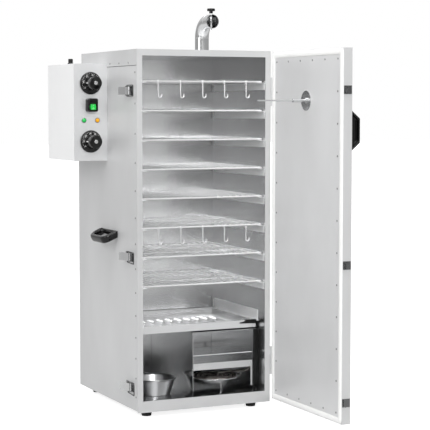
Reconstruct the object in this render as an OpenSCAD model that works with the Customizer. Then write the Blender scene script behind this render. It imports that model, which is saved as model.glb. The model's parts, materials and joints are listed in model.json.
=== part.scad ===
// Upright electric smoker: an insulated sheet steel cabinet with a full-height door on
// the right, wire racks on folded rails, a control box on the left side and an elbow
// chimney. Cabinet coordinates: x from the left side, y from the front frame towards the
// rear, z up from the lower edge of the front frame. Everything is then moved so that the
// origin lies on the floor, under the middle of the front left foot. The door stands open.

/* [Cabinet] */
// Width over the side panels
cabinet_w = 408; // [340:1:490]
// Depth from the front frame to the back of the side panels
casing_d = 436; // [363:1:524]
// Height without the feet and the chimney
cabinet_h = 1000; // [833:1:1200]
// Thickness of every folded sheet
sheet = 1.2; // [0.8:0.1:2]
// Thickness of the front frame
frame_t = 1.5; // [1:0.1:3]
// Width of the front frame beside the opening
border_side = 16; // [12:0.5:24]
// Width of the front frame above the opening
border_top = 17.6; // [12:0.1:24]
// Height of the sill below the opening
border_sill = 31.6; // [28:0.1:40]
// Height of the folded side of the top cap
cap_side_h = 44; // [30:1:60]
// Depth of the shallow cover on the back
rear_cover_d = 29; // [20:1:60]
// Distance from the top of the cabinet down to the rear cover
rear_cover_drop = 60; // [50:1:120]
// Gap between the lower edge of the frame and that of the side panels
panel_lift = 4; // [2:0.5:8]
// Height of the feet below the cabinet
foot_h = 16; // [10:1:30]
// Diameter of a foot at its top
foot_d = 34; // [24:1:44]
// Distance of the feet from the front and the back
foot_inset_y = 40; // [25:1:60]
// Distance of the feet from the sides
foot_inset_x = 42; // [25:1:60]

/* [Chamber] */
// Depth behind the chamber that is left for insulation and wiring
service_gap = 84; // [60:1:120]
// Height of the chamber floor
floor_z = 24; // [22:0.5:28]
// Clearance between pieces that only lie beside each other
loose = 0.3; // [0.2:0.1:1]
// Running clearance of a pin in its hole, on the radius
running = 0.05; // [0.02:0.01:0.1]
// Thickness of the insulation beside the chamber
side_wool = 11; // [6:0.5:12]
// Thickness of the insulation behind the chamber
back_wool = 30; // [20:1:50]

/* [Racks and hooks] */
// Number of racks
rack_count = 8; // [8:1:8]
// Distance from the top of the cabinet down to the first rack
first_rack_drop = 86.5; // [70:0.5:120]
// Distance from the drip tray's rim up to the last rack
last_rack_gap = 115; // [80:1:150]
// Radius of the rack's frame rod
rack_rod_r = 2.5; // [2:0.1:4]
// Radius of the rack's wires
wire_r = 1.25; // [1:0.05:2]
// Distance between the rack's wires
wire_pitch = 19.2; // [14:0.1:30]
// Distance of the rack's front rod behind the front frame
rack_setback = 20; // [14:1:40]
// Side clearance of a rack
rack_side_gap = 3; // [2:0.5:6]
// Width of a rail's flat leg
rail_w = 15; // [10:0.5:25]
// Height of a rail's upright leg
rail_h = 20; // [12:0.5:30]
// Radius of a hook's wire
hook_wire_r = 1.75; // [1.2:0.05:2.5]
// Height left between the foot of a hook and the rack below it
hook_gap = 34.2; // [20:0.1:50]
// Radius of a hook's bend
hook_bend_r = 5; // [3.5:0.5:8]

/* [Lower bay] */
// Clear width of the bay for the water bowl
bowl_bay_w = 170.8; // [145:0.1:190]
// Distance of the heater compartment behind the front frame
bay_setback = 46; // [40:1:60]
// Height of the top of the heater compartment above the cabinet's lower edge
bay_top_z = 206; // [180:1:230]
// Height of the heat shield plate over the element
shield_z = 116; // [100:1:130]
// Height of the crossbar in front of the shield
crossbar_z = 139; // [130:1:160]
// Height of the drip tray's underside
tray_z = 210.8; // [208:0.1:235]
// Height of the drip tray's walls
tray_wall_h = 20; // [14:0.5:30]
// Length of a slot in the drip tray
slot_l = 48; // [20:1:80]
// Distance between the slots in the drip tray
slot_pitch = 28.6; // [20:0.1:40]
// Distance from the drip tray's back to the middle of its slots
slot_back_gap = 96; // [60:1:130]
// Radius of the water bowl's rim
bowl_rim_r = 62; // [45:1:66]
// Radius of the water bowl's foot
bowl_foot_r = 46; // [30:1:50]
// Height of the water bowl
bowl_h = 48; // [30:1:80]
// Radius of the heating element's tube
element_r = 3.5; // [3:0.1:5]

/* [Door] */
// Thickness of the door shell
door_t = 25.8; // [20:0.1:40]
// Strip of the frame left uncovered on the latch side
door_free_gap = 7.8; // [5:0.1:10]
// Strip of the frame left uncovered above the door
door_top_gap = 4; // [2:0.1:10]
// Strip of the frame left uncovered below the door
door_sill_gap = 9.6; // [4:0.1:16]
// Angle at which the door stands open
door_open = 90; // [0:1:100]
// Width of the door seal
seal_w = 16; // [10:0.5:20]
// Distance of the inner panel's screws from the door's edge
door_screw_inset = 28; // [24:0.5:36]
// Radius of the hinge knuckles
knuckle_r = 3; // [2.5:0.1:5]
// Radius of the hinge pins
hinge_pin_r = 1.5; // [1:0.1:2]
// Length of each hinge
hinge_l = 80; // [50:1:120]
// Distance of the hinges from the door's top and bottom
hinge_inset = 110; // [60:1:200]
// Distance of the door handle's centre below the top of the cabinet
pull_drop = 219; // [150:1:260]
// Length of the door handle
pull_l = 108; // [80:1:160]
// Depth of the door handle
pull_depth = 26.5; // [15:0.5:40]

/* [Latches] */
// Height of the lowest latch
latch_low_z = 67; // [67:1:90]
// Height of the middle latch
latch_mid_z = 430; // [300:1:600]
// Distance from the top of the cabinet down to the highest latch
latch_top_drop = 113; // [90:1:200]
// Distance of the lever's pivot behind the front frame
latch_setback = 42; // [38:1:60]
// Length of the latch's wire loop
loop_l = 60; // [50:1:70]
// Radius of the loop's wire
loop_r = 1.5; // [1:0.1:2]

/* [Control box] */
// Depth of the control box along the side
box_d = 226; // [180:1:260]
// How far the control box stands out from the side
box_w = 100; // [80:1:140]
// Height of the control box
box_h = 275; // [260:1:300]
// Distance from the top of the cabinet down to the control box
box_drop = 35; // [20:1:60]
// Diameter of a dial's skirt
skirt_d = 64; // [50:1:70]
// Diameter of a dial's grip
grip_d = 39; // [30:1:50]
// Length of a dial's grip
grip_l = 40; // [20:1:60]
// Radius of the cable gland's bore
gland_bore_r = 3.75; // [3:0.05:5]

/* [Chimney] */
// Outer diameter of the pipe
pipe_d = 40; // [30:1:60]
// Distance of the pipe to the right of the middle
pipe_offset_x = 77.4; // [0:0.1:100]
// Distance of the pipe behind the front frame
pipe_y = 190; // [150:1:240]
// Height of the mouth's middle above the cabinet
mouth_h = 86.6; // [70:0.1:140]
// Distance of the mouth in front of the pipe
mouth_reach = 73; // [60:1:120]
// Radius of the elbow
elbow_r = 45; // [40:1:60]
// Angle of the damper plate away from fully open
damper_rest = 26; // [0:1:90]

/* [Side handles] */
// Length of a side handle
side_handle_l = 128; // [90:1:160]
// How far a side handle stands out
side_handle_reach = 46; // [30:1:60]
// Height of a side handle's upper edge
side_handle_z = 494; // [400:1:560]
// Distance of a side handle behind the front frame
side_handle_y = 146; // [100:1:200]

/* [Hidden] */
$fn = 48;

steel = "#c9cbcc";
bright = "#dfe1e2";
black = "#191919";
cabinet_d = casing_d + rear_cover_d;
chamber_d = casing_d - service_gap;
chamber_right = cabinet_w - border_side;
ceiling_z = cabinet_h - border_top;
cap_seam_z = cabinet_h - cap_side_h;
rear_cover_top = cabinet_h - rear_cover_drop;
return_w = 16;
frame_return = 22;
screw_shank_r = 1.5;
screw_head_r = 2.6;
screw_head_t = 1.2;
rear_screw_zs = [60, rear_cover_top / 2, rear_cover_top - 60];

// Racks and hooks
tray_rim_z = tray_z + tray_wall_h + sheet;
first_rack_z = cabinet_h - first_rack_drop;
rack_pitch = (first_rack_z - tray_rim_z - last_rack_gap) / (rack_count - 1);
rack_left = border_side + rack_side_gap;
rack_right = chamber_right - rack_side_gap;
rack_back_y = chamber_d - 7;
rail_front_y = 6;
rail_back_y = chamber_d - 12;
side_rod_r = rack_rod_r - 0.1;
hook_pitch = 3.5 * wire_pitch;
hook_drop = rack_pitch - hook_gap;
hook_ring_r = rack_rod_r + hook_wire_r + loose + 0.1;

// Lower bay
bay_wall_x = border_side + bowl_bay_w + sheet;
bay_right = chamber_right - 4;
bay_back_y = chamber_d - 1;
element_gap = 19;
dish_r = (bay_right - sheet - bay_wall_x) / 2 - element_gap;
dish_x = (bay_wall_x + bay_right - sheet) / 2;
dish_y = bay_setback + 5 + dish_r;
dish_base_z = 52;
element_z = 62;
coil_step = 6.4;
coil_turns = floor((dish_r - 35) / coil_step);
bowl_x = border_side + bowl_bay_w / 2 + 4;
bowl_y = bay_setback + bowl_rim_r + 27;
slot_y = rack_back_y - slot_back_gap;

// Door, in its closed place
door_left = door_free_gap;
door_right = cabinet_w - 0.2;
door_w = door_right - door_left;
door_bottom = door_sill_gap;
door_top = cabinet_h - door_top_gap;
hinge_x = door_right + knuckle_r + 0.4;
hinge_y = -3;
panel_face_y = -2.2;
inner_face_y = panel_face_y - sheet;
outer_face_y = inner_face_y - door_t;
seal_face_y = -loose;
flange_w = door_screw_inset + 8;
hinge_zs = [door_bottom + hinge_inset, door_top - hinge_inset];
probe_x = (door_left + door_right) / 2;
probe_r = 2;
sleeve_r = 4.8;
probe_z = first_rack_z - hook_drop - 2.2 - sleeve_r;
probe_l = 148;

// Latches: the lever's pivot, the loop's pivot when closed, and the angles at rest
latch_zs = [latch_low_z, latch_mid_z, cabinet_h - latch_top_drop];
lever_pivot_x = -5.5;
loop_pivot_y = latch_setback + 8;
loop_pivot_x = -7.5;
lever_rest = 12;
loop_rest = 9;
loop_closed = -3;
loop_half_h = 15;
lever_half_h = 10.8;
ear_inner = 11.3;
hook_bar_y = loop_pivot_y - loop_l * cos(loop_closed);

// Control box
box_back_y = cabinet_d - 15;
box_front_y = box_back_y - box_d;
box_top = cabinet_h - box_drop;
box_bottom = box_top - box_h;
box_mid_x = -box_w / 2 - 0.5;
dial_zs = [box_bottom + 55, box_top - 55];
switch_w = 30;
switch_h = 38;
switch_out = 24;
switch_z = box_top - 117;
rocker_w = 15;
rocker_h = 16;
rocker_z = switch_z - 5;
lamp_z = box_bottom + 115;
lamp_x = 20;
spindle_r = 3;
gland_y = box_front_y + 166;

// Chimney
pipe_x = cabinet_w / 2 + pipe_offset_x;
pipe_r = pipe_d / 2;
pipe_bore_r = pipe_r - sheet;
mouth_y = pipe_y - mouth_reach;
damper_y = mouth_y + 10;
damper_z = cabinet_h + mouth_h;
damper_rod_r = 3;
knob_z = damper_z + pipe_r + 3;

// Moves cabinet coordinates to the object's own frame
module placed() {
    translate([-foot_inset_x, -foot_inset_y, foot_h]) children();
}

// Turns a piece of the closed door to where the open door stands
module opened() {
    translate([hinge_x, hinge_y, 0])
        rotate([0, 0, door_open])
            translate([-hinge_x, -hinge_y, 0])
                children();
}

// A block between two corners
module block(low, high) {
    translate(low) cube(high - low);
}

// A round bar between two points
module bar(from, to, r) {
    way = to - from;
    length = norm(way);
    translate(from)
        rotate([0, acos(way.z / length), atan2(way.y, way.x)])
            cylinder(h = length, r = r);
}

// Repeats a piece of the left side on the right side
module both_sides() {
    children();
    translate([cabinet_w, 0, 0]) mirror([1, 0, 0]) children();
}

// Height of a side screw: the spacing grows evenly towards the top
function side_screw_z(k) =
    let (step = 1 - 0.0159 * (k - 1), top = cap_seam_z - 19, low = 43)
        top - (top - low) * k * step / (13 * 0.8092);

function rack_z(level) = first_rack_z - (level - 1) * rack_pitch;

// On the hinge side the screws that a hinge leaf would cover are left out
module side_screws(r, from_x, to_x, beside_hinge) {
    for (k = [0 : 13])
        if (!beside_hinge || min([for (z = hinge_zs) abs(side_screw_z(k) - z)]) > hinge_l / 2 + 6)
            bar([from_x, 12, side_screw_z(k)], [to_x, 12, side_screw_z(k)], r);
}

module left_side_screws(r, from_x, to_x) {
    side_screws(r, from_x, to_x, false);
}

module right_side_screws(r, from_x, to_x) {
    translate([cabinet_w, 0, 0]) mirror([1, 0, 0]) side_screws(r, from_x, to_x, true);
}

module cap_screws(r, from_x, to_x) {
    for (y = [60, 130, box_front_y - 24])
        bar([from_x, y, cap_seam_z + 8], [to_x, y, cap_seam_z + 8], r);
}

module rear_screws(r, from_y, to_y) {
    for (x = [8, cabinet_w - 8], z = rear_screw_zs)
        bar([x, from_y, z], [x, to_y, z], r);
}

// ---- Casing ----
module left_side_panel() {
    color(steel) placed() difference() {
        side_panel();
        left_side_screws(screw_shank_r + loose, -1, sheet + 1);
    }
}

module right_side_panel() {
    color(steel) placed() difference() {
        translate([cabinet_w, 0, 0]) mirror([1, 0, 0]) side_panel();
        right_side_screws(screw_shank_r + loose, -1, sheet + 1);
    }
}

module side_panel() {
    difference() {
        union() {
            block([0, frame_t, panel_lift], [sheet, casing_d, cap_seam_z]);
            block([0, casing_d - sheet, panel_lift], [return_w, casing_d, cap_seam_z]);
            block([sheet - 0.1, frame_return + 4, cap_seam_z - 12],
                [2 * sheet, casing_d - 6, cap_seam_z]);
            block([sheet, frame_return + 4, cap_seam_z - 1],
                [2 * sheet, casing_d - 6, cap_seam_z + 14]);
        }
        cap_screws(screw_shank_r + loose, -1, 3 * sheet);
        for (z = rear_screw_zs)
            bar([8, casing_d - 3, z], [8, casing_d + 1, z], screw_shank_r + loose);
    }
}

module top_cap() {
    color(steel) placed() difference() {
        union() {
            block([0, frame_t, cabinet_h - sheet], [cabinet_w, casing_d, cabinet_h]);
            both_sides() block([0, frame_t, cap_seam_z], [sheet, casing_d, cabinet_h]);
            block([0, casing_d - sheet, rear_cover_top], [cabinet_w, casing_d, cabinet_h]);
        }
        both_sides() cap_screws(screw_shank_r + loose, -1, sheet + 1);
        both_sides() block([-1, casing_d - sheet - 1, rear_cover_top - 1],
            [return_w + loose, casing_d + 1, cap_seam_z]);
        translate([pipe_x, pipe_y, cabinet_h - 5]) cylinder(h = 10, r = pipe_r + loose);
    }
}

module base_pan() {
    color(steel) placed() difference() {
        block([sheet, frame_t, panel_lift], [cabinet_w - sheet, casing_d - sheet, panel_lift + sheet]);
        foot_studs(3 + loose, panel_lift - 1, panel_lift + sheet + 1);
    }
}

module rear_cover() {
    color(steel) placed() difference() {
        block([0, casing_d, panel_lift], [cabinet_w, cabinet_d, rear_cover_top]);
        block([sheet, casing_d - 1, panel_lift + sheet],
            [cabinet_w - sheet, cabinet_d - sheet, rear_cover_top - sheet]);
        rear_screws(screw_shank_r + loose, cabinet_d - 4, cabinet_d + 1);
    }
}

module front_frame() {
    color(bright) placed() difference() {
        union() {
            block([0, 0, 0], [cabinet_w, frame_t, cabinet_h]);
            both_sides() block([sheet, 1, 8], [2 * sheet, frame_return, cap_seam_z - 2]);
        }
        block([border_side, -1, border_sill], [chamber_right, 50, ceiling_z]);
        left_side_screws(screw_shank_r, 0, 3 * sheet);
        right_side_screws(screw_shank_r, 0, 3 * sheet);
    }
}

module chamber_liner() {
    color(bright) placed() difference() {
        block([border_side - sheet, frame_t, floor_z - sheet],
            [chamber_right + sheet, chamber_d + sheet, ceiling_z + sheet]);
        block([border_side, frame_t - 1, floor_z], [chamber_right, chamber_d, ceiling_z]);
        translate([pipe_x, pipe_y, ceiling_z - 5]) cylinder(h = 10, r = pipe_bore_r);
    }
}

module insulation() {
    wool_left = border_side - sheet - loose;
    color("#cfc8a8") placed() {
        both_sides() block([wool_left - side_wool, frame_return + 5, floor_z + 4],
            [wool_left, chamber_d, cap_seam_z - 14]);
        block([border_side, chamber_d + sheet + loose, floor_z + 4],
            [chamber_right, chamber_d + sheet + loose + back_wool, ceiling_z]);
        block([border_side, frame_return + 5, panel_lift + 6], [chamber_right, chamber_d, floor_z - sheet - loose]);
        difference() {
            block([border_side, frame_return + 5, ceiling_z + sheet + loose],
                [chamber_right, chamber_d, cabinet_h - sheet - loose]);
            translate([pipe_x, pipe_y, ceiling_z]) cylinder(h = 60, r = pipe_r + loose);
        }
    }
}

module rails() {
    color(bright) placed() both_sides() {
        for (level = [1 : rack_count]) rail(rack_z(level) - rack_rod_r - loose);
        tray_rail();
    }
}

module rail(top) {
    block([border_side, rail_front_y, top - rail_h], [border_side + sheet, rail_back_y, top]);
    block([border_side, rail_front_y, top - sheet], [border_side + rail_w, rail_back_y, top]);
}

// The drip tray hangs by its rims on these
module tray_rail() {
    top = tray_rim_z - sheet - loose;
    block([border_side, bay_setback, top - sheet], [border_side + sheet, rail_back_y, top + 30]);
    block([border_side, bay_setback, top - sheet], [border_side + 5.2, rail_back_y, top]);
}

module foot_studs(r, from_z, to_z) {
    for (x = [foot_inset_x, cabinet_w - foot_inset_x], y = [foot_inset_y, cabinet_d - foot_inset_y])
        bar([x, y, from_z], [x, y, to_z], r);
}

module feet() {
    color(black) placed() {
        for (x = [foot_inset_x, cabinet_w - foot_inset_x], y = [foot_inset_y, cabinet_d - foot_inset_y])
            translate([x, y, -foot_h])
                cylinder(h = foot_h + panel_lift, r1 = foot_d / 2 - 2.5, r2 = foot_d / 2);
        foot_studs(3, panel_lift - 1, panel_lift + sheet + 3);
    }
}

module casing_screws() {
    color("silver") placed() {
        left_side_screws(screw_head_r, -screw_head_t, 0);
        left_side_screws(screw_shank_r - loose, -0.5, 2 * sheet);
        right_side_screws(screw_head_r, -screw_head_t, 0);
        right_side_screws(screw_shank_r - loose, -0.5, 2 * sheet);
        both_sides() {
            cap_screws(screw_head_r, -screw_head_t, 0);
            cap_screws(screw_shank_r - loose, -0.5, 2 * sheet);
        }
        rear_screws(screw_head_r, cabinet_d, cabinet_d + screw_head_t);
        rear_screws(screw_shank_r - loose, casing_d - 1, cabinet_d + 0.5);
    }
}

// ---- Side handles: a drooping bow on a base strip ----
module side_handles() {
    color(black) placed() both_sides() side_handle();
}

module side_handle() {
    grip = 12;
    half = side_handle_l / 2;
    translate([0, side_handle_y + half, side_handle_z - 8.5]) {
        block([-4, -half, -6.5], [0, half, 8.5]);
        difference() {
            rotate([0, -24, 0]) translate([0, 0, -8.5]) linear_extrude(17) difference() {
                polygon([[-1, -half], [-side_handle_reach + 12, -half], [-side_handle_reach, -half + 14],
                    [-side_handle_reach, half - 20], [-side_handle_reach + 18, half], [-1, half]]);
                polygon([[2, -half + grip], [-side_handle_reach + 17, -half + grip],
                    [-side_handle_reach + grip, -half + grip + 8], [-side_handle_reach + grip, half - 26],
                    [-side_handle_reach + 23, half - grip], [2, half - grip]]);
            }
            block([0, -half - 1, -30], [20, half + 1, 30]);
        }
    }
}

// ---- Chimney ----
module chimney_pipe() {
    color(bright) placed() difference() {
        union() {
            pipe_solid(pipe_r);
            translate([pipe_x, pipe_y, cabinet_h]) cylinder(h = sheet, r = pipe_r + 12);
        }
        pipe_solid(pipe_bore_r);
        translate([pipe_x, pipe_y, ceiling_z - 1]) cylinder(h = 30, r = pipe_bore_r);
        translate([pipe_x, mouth_y + 1, damper_z]) rotate([90, 0, 0]) cylinder(h = 5, r = pipe_bore_r);
        bar([pipe_x, damper_y, damper_z - pipe_r - 5], [pipe_x, damper_y, damper_z + pipe_r + 5],
            damper_rod_r + running);
    }
}

module pipe_solid(r) {
    bend_z = damper_z - elbow_r;
    bend_y = pipe_y - elbow_r;
    bar([pipe_x, pipe_y, ceiling_z + sheet], [pipe_x, pipe_y, bend_z], r);
    translate([pipe_x, bend_y, bend_z]) rotate([90, 0, 90]) rotate_extrude(angle = 90)
        translate([elbow_r, 0]) circle(r);
    bar([pipe_x, bend_y, damper_z], [pipe_x, mouth_y, damper_z], r);
}

module damper_blade() {
    color(bright) placed() {
        bar([pipe_x, damper_y, damper_z - pipe_r - 3], [pipe_x, damper_y, knob_z], damper_rod_r);
        translate([pipe_x, damper_y, damper_z]) rotate([0, 0, 90 - damper_rest])
            rotate([90, 0, 0]) translate([0, 0, -sheet / 2]) cylinder(h = sheet, r = pipe_bore_r - 0.6);
    }
}

module damper_knob() {
    color(black) placed() translate([pipe_x, damper_y, knob_z]) {
        cylinder(h = 7, r = 5.6);
        translate([0, 0, 6.5]) cylinder(h = 7.4, r = 11.3);
    }
}

// ---- Control box ----
module control_housing() {
    color("#f4f4f4") placed() difference() {
        block([-box_w, box_front_y + sheet, box_bottom], [0, box_back_y, box_top]);
        block([-box_w + sheet, box_front_y, box_bottom + sheet],
            [1, box_back_y - sheet, box_top - sheet]);
        bar([box_mid_x, gland_y, box_top - 5], [box_mid_x, gland_y, box_top + 5], 6 + loose);
    }
}

module control_panel() {
    color("#d4d6d7") placed() difference() {
        block([-box_w, box_front_y, box_bottom], [0, box_front_y + sheet, box_top]);
        for (z = dial_zs) panel_hole(box_mid_x, z, spindle_r + 2 + loose);
        for (side = [-1, 1]) panel_hole(box_mid_x + side * lamp_x, lamp_z, 5 + loose);
        block([box_mid_x - switch_w / 2 + 2, box_front_y - 1, switch_z - switch_h / 2 + 2],
            [box_mid_x + switch_w / 2 - 2, box_front_y + 5, switch_z + switch_h / 2 - 2]);
    }
}

module panel_hole(x, z, r) {
    bar([x, box_front_y - 5, z], [x, box_front_y + 5, z], r);
}

// Body of a dial's control behind the panel, with a bush for the spindle
module dial_control(z, depth) {
    difference() {
        union() {
            block([box_mid_x - 21, box_front_y + sheet, z - 21],
                [box_mid_x + 21, box_front_y + sheet + depth, z + 21]);
            bar([box_mid_x, box_front_y - 1, z], [box_mid_x, box_front_y + 5, z], spindle_r + 2);
        }
        bar([box_mid_x, box_front_y - 3, z], [box_mid_x, box_front_y + 15, z], spindle_r + running);
    }
}

module thermostat() {
    color("#e8e4d8") placed() dial_control(dial_zs[1], 46);
}

module timer() {
    color("#e8e4d8") placed() dial_control(dial_zs[0], 38);
}

// A dial with a wide skirt, turning on its spindle
module dial(z) {
    color(black) placed() translate([box_mid_x, box_front_y - 1 - loose, z]) rotate([90, 0, 0]) {
        translate([0, 0, -13]) cylinder(h = 16, r = spindle_r);
        translate([0, 0, 1]) cylinder(h = 5, r1 = skirt_d / 2, r2 = skirt_d / 2 - 2);
        translate([0, 0, 5]) cylinder(h = grip_l - 1, r = grip_d / 2);
        translate([0, 0, grip_l + 3.5]) cylinder(h = 1.2, r = 6.5);
    }
}

module thermostat_dial() {
    dial(dial_zs[1]);
}

module timer_dial() {
    dial(dial_zs[0]);
}

module switch_housing() {
    window = rocker_w / 2 + 1;
    color(black) placed() difference() {
        union() {
            block([box_mid_x - switch_w / 2, box_front_y - switch_out, switch_z - switch_h / 2],
                [box_mid_x + switch_w / 2, box_front_y, switch_z + switch_h / 2]);
            block([box_mid_x - switch_w / 2 + 2.5, box_front_y - 1, switch_z - switch_h / 2 + 2.5],
                [box_mid_x + switch_w / 2 - 2.5, box_front_y + 24, switch_z + switch_h / 2 - 2.5]);
        }
        block([box_mid_x - window, box_front_y - switch_out - 1, rocker_z - rocker_h / 2 - 2.6],
            [box_mid_x + window, box_front_y - switch_out + 12, rocker_z + rocker_h / 2 + 2.6]);
        rocker_pins(rocker_w / 2 + 4, 1 + running);
    }
}

module rocker_pins(reach, r) {
    y = box_front_y - switch_out + 6;
    bar([box_mid_x - reach, y, rocker_z], [box_mid_x + reach, y, rocker_z], r);
}

module switch_rocker() {
    y = box_front_y - switch_out + 6;
    color("#12c22e") placed() {
        translate([box_mid_x - rocker_w / 2, y, rocker_z]) rotate([90, 0, 90]) linear_extrude(rocker_w)
            polygon([[-6.5, -rocker_h / 2], [-3.5, rocker_h / 2], [3, rocker_h / 2 - 2], [3, 2 - rocker_h / 2]]);
        rocker_pins(rocker_w / 2 + 3, 1);
    }
}

module pilot_lamps() {
    color("#38d048") placed() for (side = [-1, 1])
        translate([box_mid_x + side * lamp_x, box_front_y, lamp_z]) rotate([90, 0, 0]) {
            translate([0, 0, -16]) cylinder(h = 17, r = 5);
            cylinder(h = 2.4, r = 7.5);
            translate([0, 0, 2]) cylinder(h = 4, r1 = 6.5, r2 = 3.5);
        }
}

module cable_gland() {
    color(black) placed() translate([box_mid_x, gland_y, box_top]) difference() {
        union() {
            translate([0, 0, -8]) cylinder(h = 10, r = 6);
            cylinder(h = 6, r = 9, $fn = 6);
            translate([0, 0, 5.5]) cylinder(h = 3.5, r1 = 8, r2 = 6.2);
            translate([0, 0, 8.5]) cylinder(h = 9.8, r = 6.2);
            translate([0, 0, -5 - sheet]) cylinder(h = 5, r = 8.5, $fn = 6);
        }
        translate([0, 0, -10]) cylinder(h = 40, r = gland_bore_r);
    }
}

module terminal_block() {
    z = box_bottom + 30;
    color("#eeeeea") placed() difference() {
        block([-box_w + sheet, box_back_y - 90, z], [-box_w + sheet + 18, box_back_y - 30, z + 22]);
        for (k = [0 : 4])
            bar([-box_w - 5 + sheet + 15, box_back_y - 82 + k * 11, z - 1],
                [-box_w - 5 + sheet + 15, box_back_y - 82 + k * 11, z + 23], 2.5);
    }
}

// ---- Toggle latches on the left side ----
// One in local coordinates: the lever's pivot lies on the z axis
module at_lever(index) {
    placed() translate([lever_pivot_x, latch_setback, latch_zs[index]]) children();
}

module latch_bases() {
    color(bright) for (index = [0 : 2]) at_lever(index) {
        translate([-lever_pivot_x - sheet, -16, -13]) cube([sheet, 56, 26]);
        for (side = [-1, 1]) translate([0, 0, side * (ear_inner + sheet / 2) - sheet / 2]) {
            cylinder(h = sheet, r = 4.4);
            translate([0, -4.4, 0]) cube([-lever_pivot_x - 0.5, 8.8, sheet]);
        }
        translate([0, 0, -ear_inner - 1.6]) cylinder(h = 2 * ear_inner + 3.2, r = hinge_pin_r);
    }
}

module latch_lever(index) {
    arm = [loop_pivot_x - lever_pivot_x, loop_pivot_y - latch_setback, 0];
    color(steel) at_lever(index) rotate([0, 0, lever_rest]) difference() {
        union() {
            translate([0, 0, -lever_half_h]) cylinder(h = 2 * lever_half_h, r = 3);
            translate([arm.x, arm.y, -lever_half_h]) cylinder(h = 2 * lever_half_h, r = 2.8);
            block([arm.x - 2.6, -1, -lever_half_h], [arm.x - 2.6 + 1.4, 34, lever_half_h]);
            block([arm.x - 2.6, 0, -lever_half_h], [-1, 6, lever_half_h]);
            translate([arm.x - 2.6, 33.8, -lever_half_h]) rotate([0, 0, 22])
                cube([1.4, 9, 2 * lever_half_h]);
        }
        translate([0, 0, -20]) cylinder(h = 40, r = hinge_pin_r + running);
        translate([arm.x, arm.y, -20]) cylinder(h = 40, r = loop_r + running);
    }
}

module latch_loop(index) {
    arm = [loop_pivot_x - lever_pivot_x, loop_pivot_y - latch_setback, 0];
    color(bright) at_lever(index) rotate([0, 0, lever_rest]) translate(arm)
        rotate([0, 0, -lever_rest - loop_rest - loop_closed]) {
            bar([0, 0, -loop_half_h], [0, 0, loop_half_h], loop_r);
            bar([0, -loop_l, -loop_half_h], [0, -loop_l, loop_half_h], loop_r);
            for (side = [-1, 1])
                bar([0, 0, side * loop_half_h], [0, -loop_l, side * loop_half_h], loop_r - 0.05);
        }
}

module latch_lever_low() {
    latch_lever(0);
}

module latch_lever_mid() {
    latch_lever(1);
}

module latch_lever_top() {
    latch_lever(2);
}

module latch_loop_low() {
    latch_loop(0);
}

module latch_loop_mid() {
    latch_loop(1);
}

module latch_loop_top() {
    latch_loop(2);
}

// ---- Hinges on the right edge ----
// The cabinet's leaf holds the pin and the two outer knuckles
module hinge_leaves_cabinet() {
    third = hinge_l / 3;
    color(bright) placed() for (z = hinge_zs) translate([hinge_x, hinge_y, z]) {
        bar([0, 0, -hinge_l / 2], [0, 0, hinge_l / 2], hinge_pin_r);
        for (side = [-1, 1]) translate([0, 0, side * third - third / 2]) difference() {
            union() {
                cylinder(h = third, r = knuckle_r);
                translate([-knuckle_r, 0, 0]) cube([1.4, 12, third]);
            }
            translate([0, 0, -1]) cylinder(h = third + 2, r = hinge_pin_r - 0.2);
        }
        translate([cabinet_w - hinge_x, 3, -hinge_l / 2]) cube([1.4, 26, hinge_l]);
        translate([-knuckle_r, 6, -hinge_l / 2]) cube([1.4, 6, hinge_l]);
    }
}

module hinge_leaves_door() {
    third = hinge_l / 3;
    color(bright) placed() opened() for (z = hinge_zs) translate([hinge_x, hinge_y, z]) difference() {
        union() {
            translate([0, 0, -third / 2 + loose]) cylinder(h = third - 2 * loose, r = knuckle_r);
            translate([-knuckle_r, -8, -third / 2 + loose]) cube([1.4, 8, third - 2 * loose]);
            translate([door_right - hinge_x, -24, -hinge_l / 2]) cube([1.6, 19, hinge_l]);
        }
        translate([0, 0, -hinge_l]) cylinder(h = 2 * hinge_l, r = hinge_pin_r + running);
    }
}

// ---- Lower bay ----
module heater_bay() {
    color(bright) placed() {
        difference() {
            block([bay_wall_x - sheet, bay_setback, floor_z], [bay_right, bay_back_y, bay_top_z]);
            block([bay_wall_x, bay_setback - 1, floor_z - 1],
                [bay_right - sheet, bay_back_y + 1, bay_top_z - sheet]);
        }
        bar([bay_wall_x - 0.5, bay_setback + 3, crossbar_z], [bay_right - 0.5, bay_setback + 3, crossbar_z], 2);
    }
}

module heat_shield() {
    left = bay_wall_x + 1;
    right = bay_right - sheet - 1;
    front = bay_setback + 1;
    back = chamber_d - 44;
    color(bright) placed() difference() {
        union() {
            block([left, front, shield_z - sheet], [right, back, shield_z]);
            block([left, front, shield_z - 19], [right, front + sheet, shield_z]);
            block([right - 16, front, floor_z + 18], [right, front + sheet, shield_z]);
            block([left, front + 14, floor_z], [left + sheet, back, shield_z]);
            block([right - sheet, front + 14, floor_z], [right, back, shield_z]);
            block([right - sheet, front, floor_z + 18], [right, front + 16, shield_z]);
        }
        block([right - sheet - 1, dish_y - 14, element_z - 4], [right + 1, dish_y + 14, element_z + 16]);
    }
}

module heater_dish() {
    color(bright) placed() translate([dish_x, dish_y, 0]) {
        rotate_extrude() polygon([
            [0, dish_base_z], [dish_r - 14, dish_base_z], [dish_r, element_z + 2], [dish_r + 3, element_z + 2],
            [dish_r + 3, element_z + 3.2], [dish_r - 0.8, element_z + 3.2],
            [dish_r - 14.6, dish_base_z + sheet], [0, dish_base_z + sheet]]);
        for (turn = [30, 150, 270]) rotate([0, 0, turn]) {
            bar([dish_r - 22, 0, floor_z], [dish_r - 22, 0, dish_base_z + 0.5], 3);
            block([8, -1, dish_base_z + 0.5], [dish_r - 14, 1, element_z - element_r]);
        }
    }
}

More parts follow.
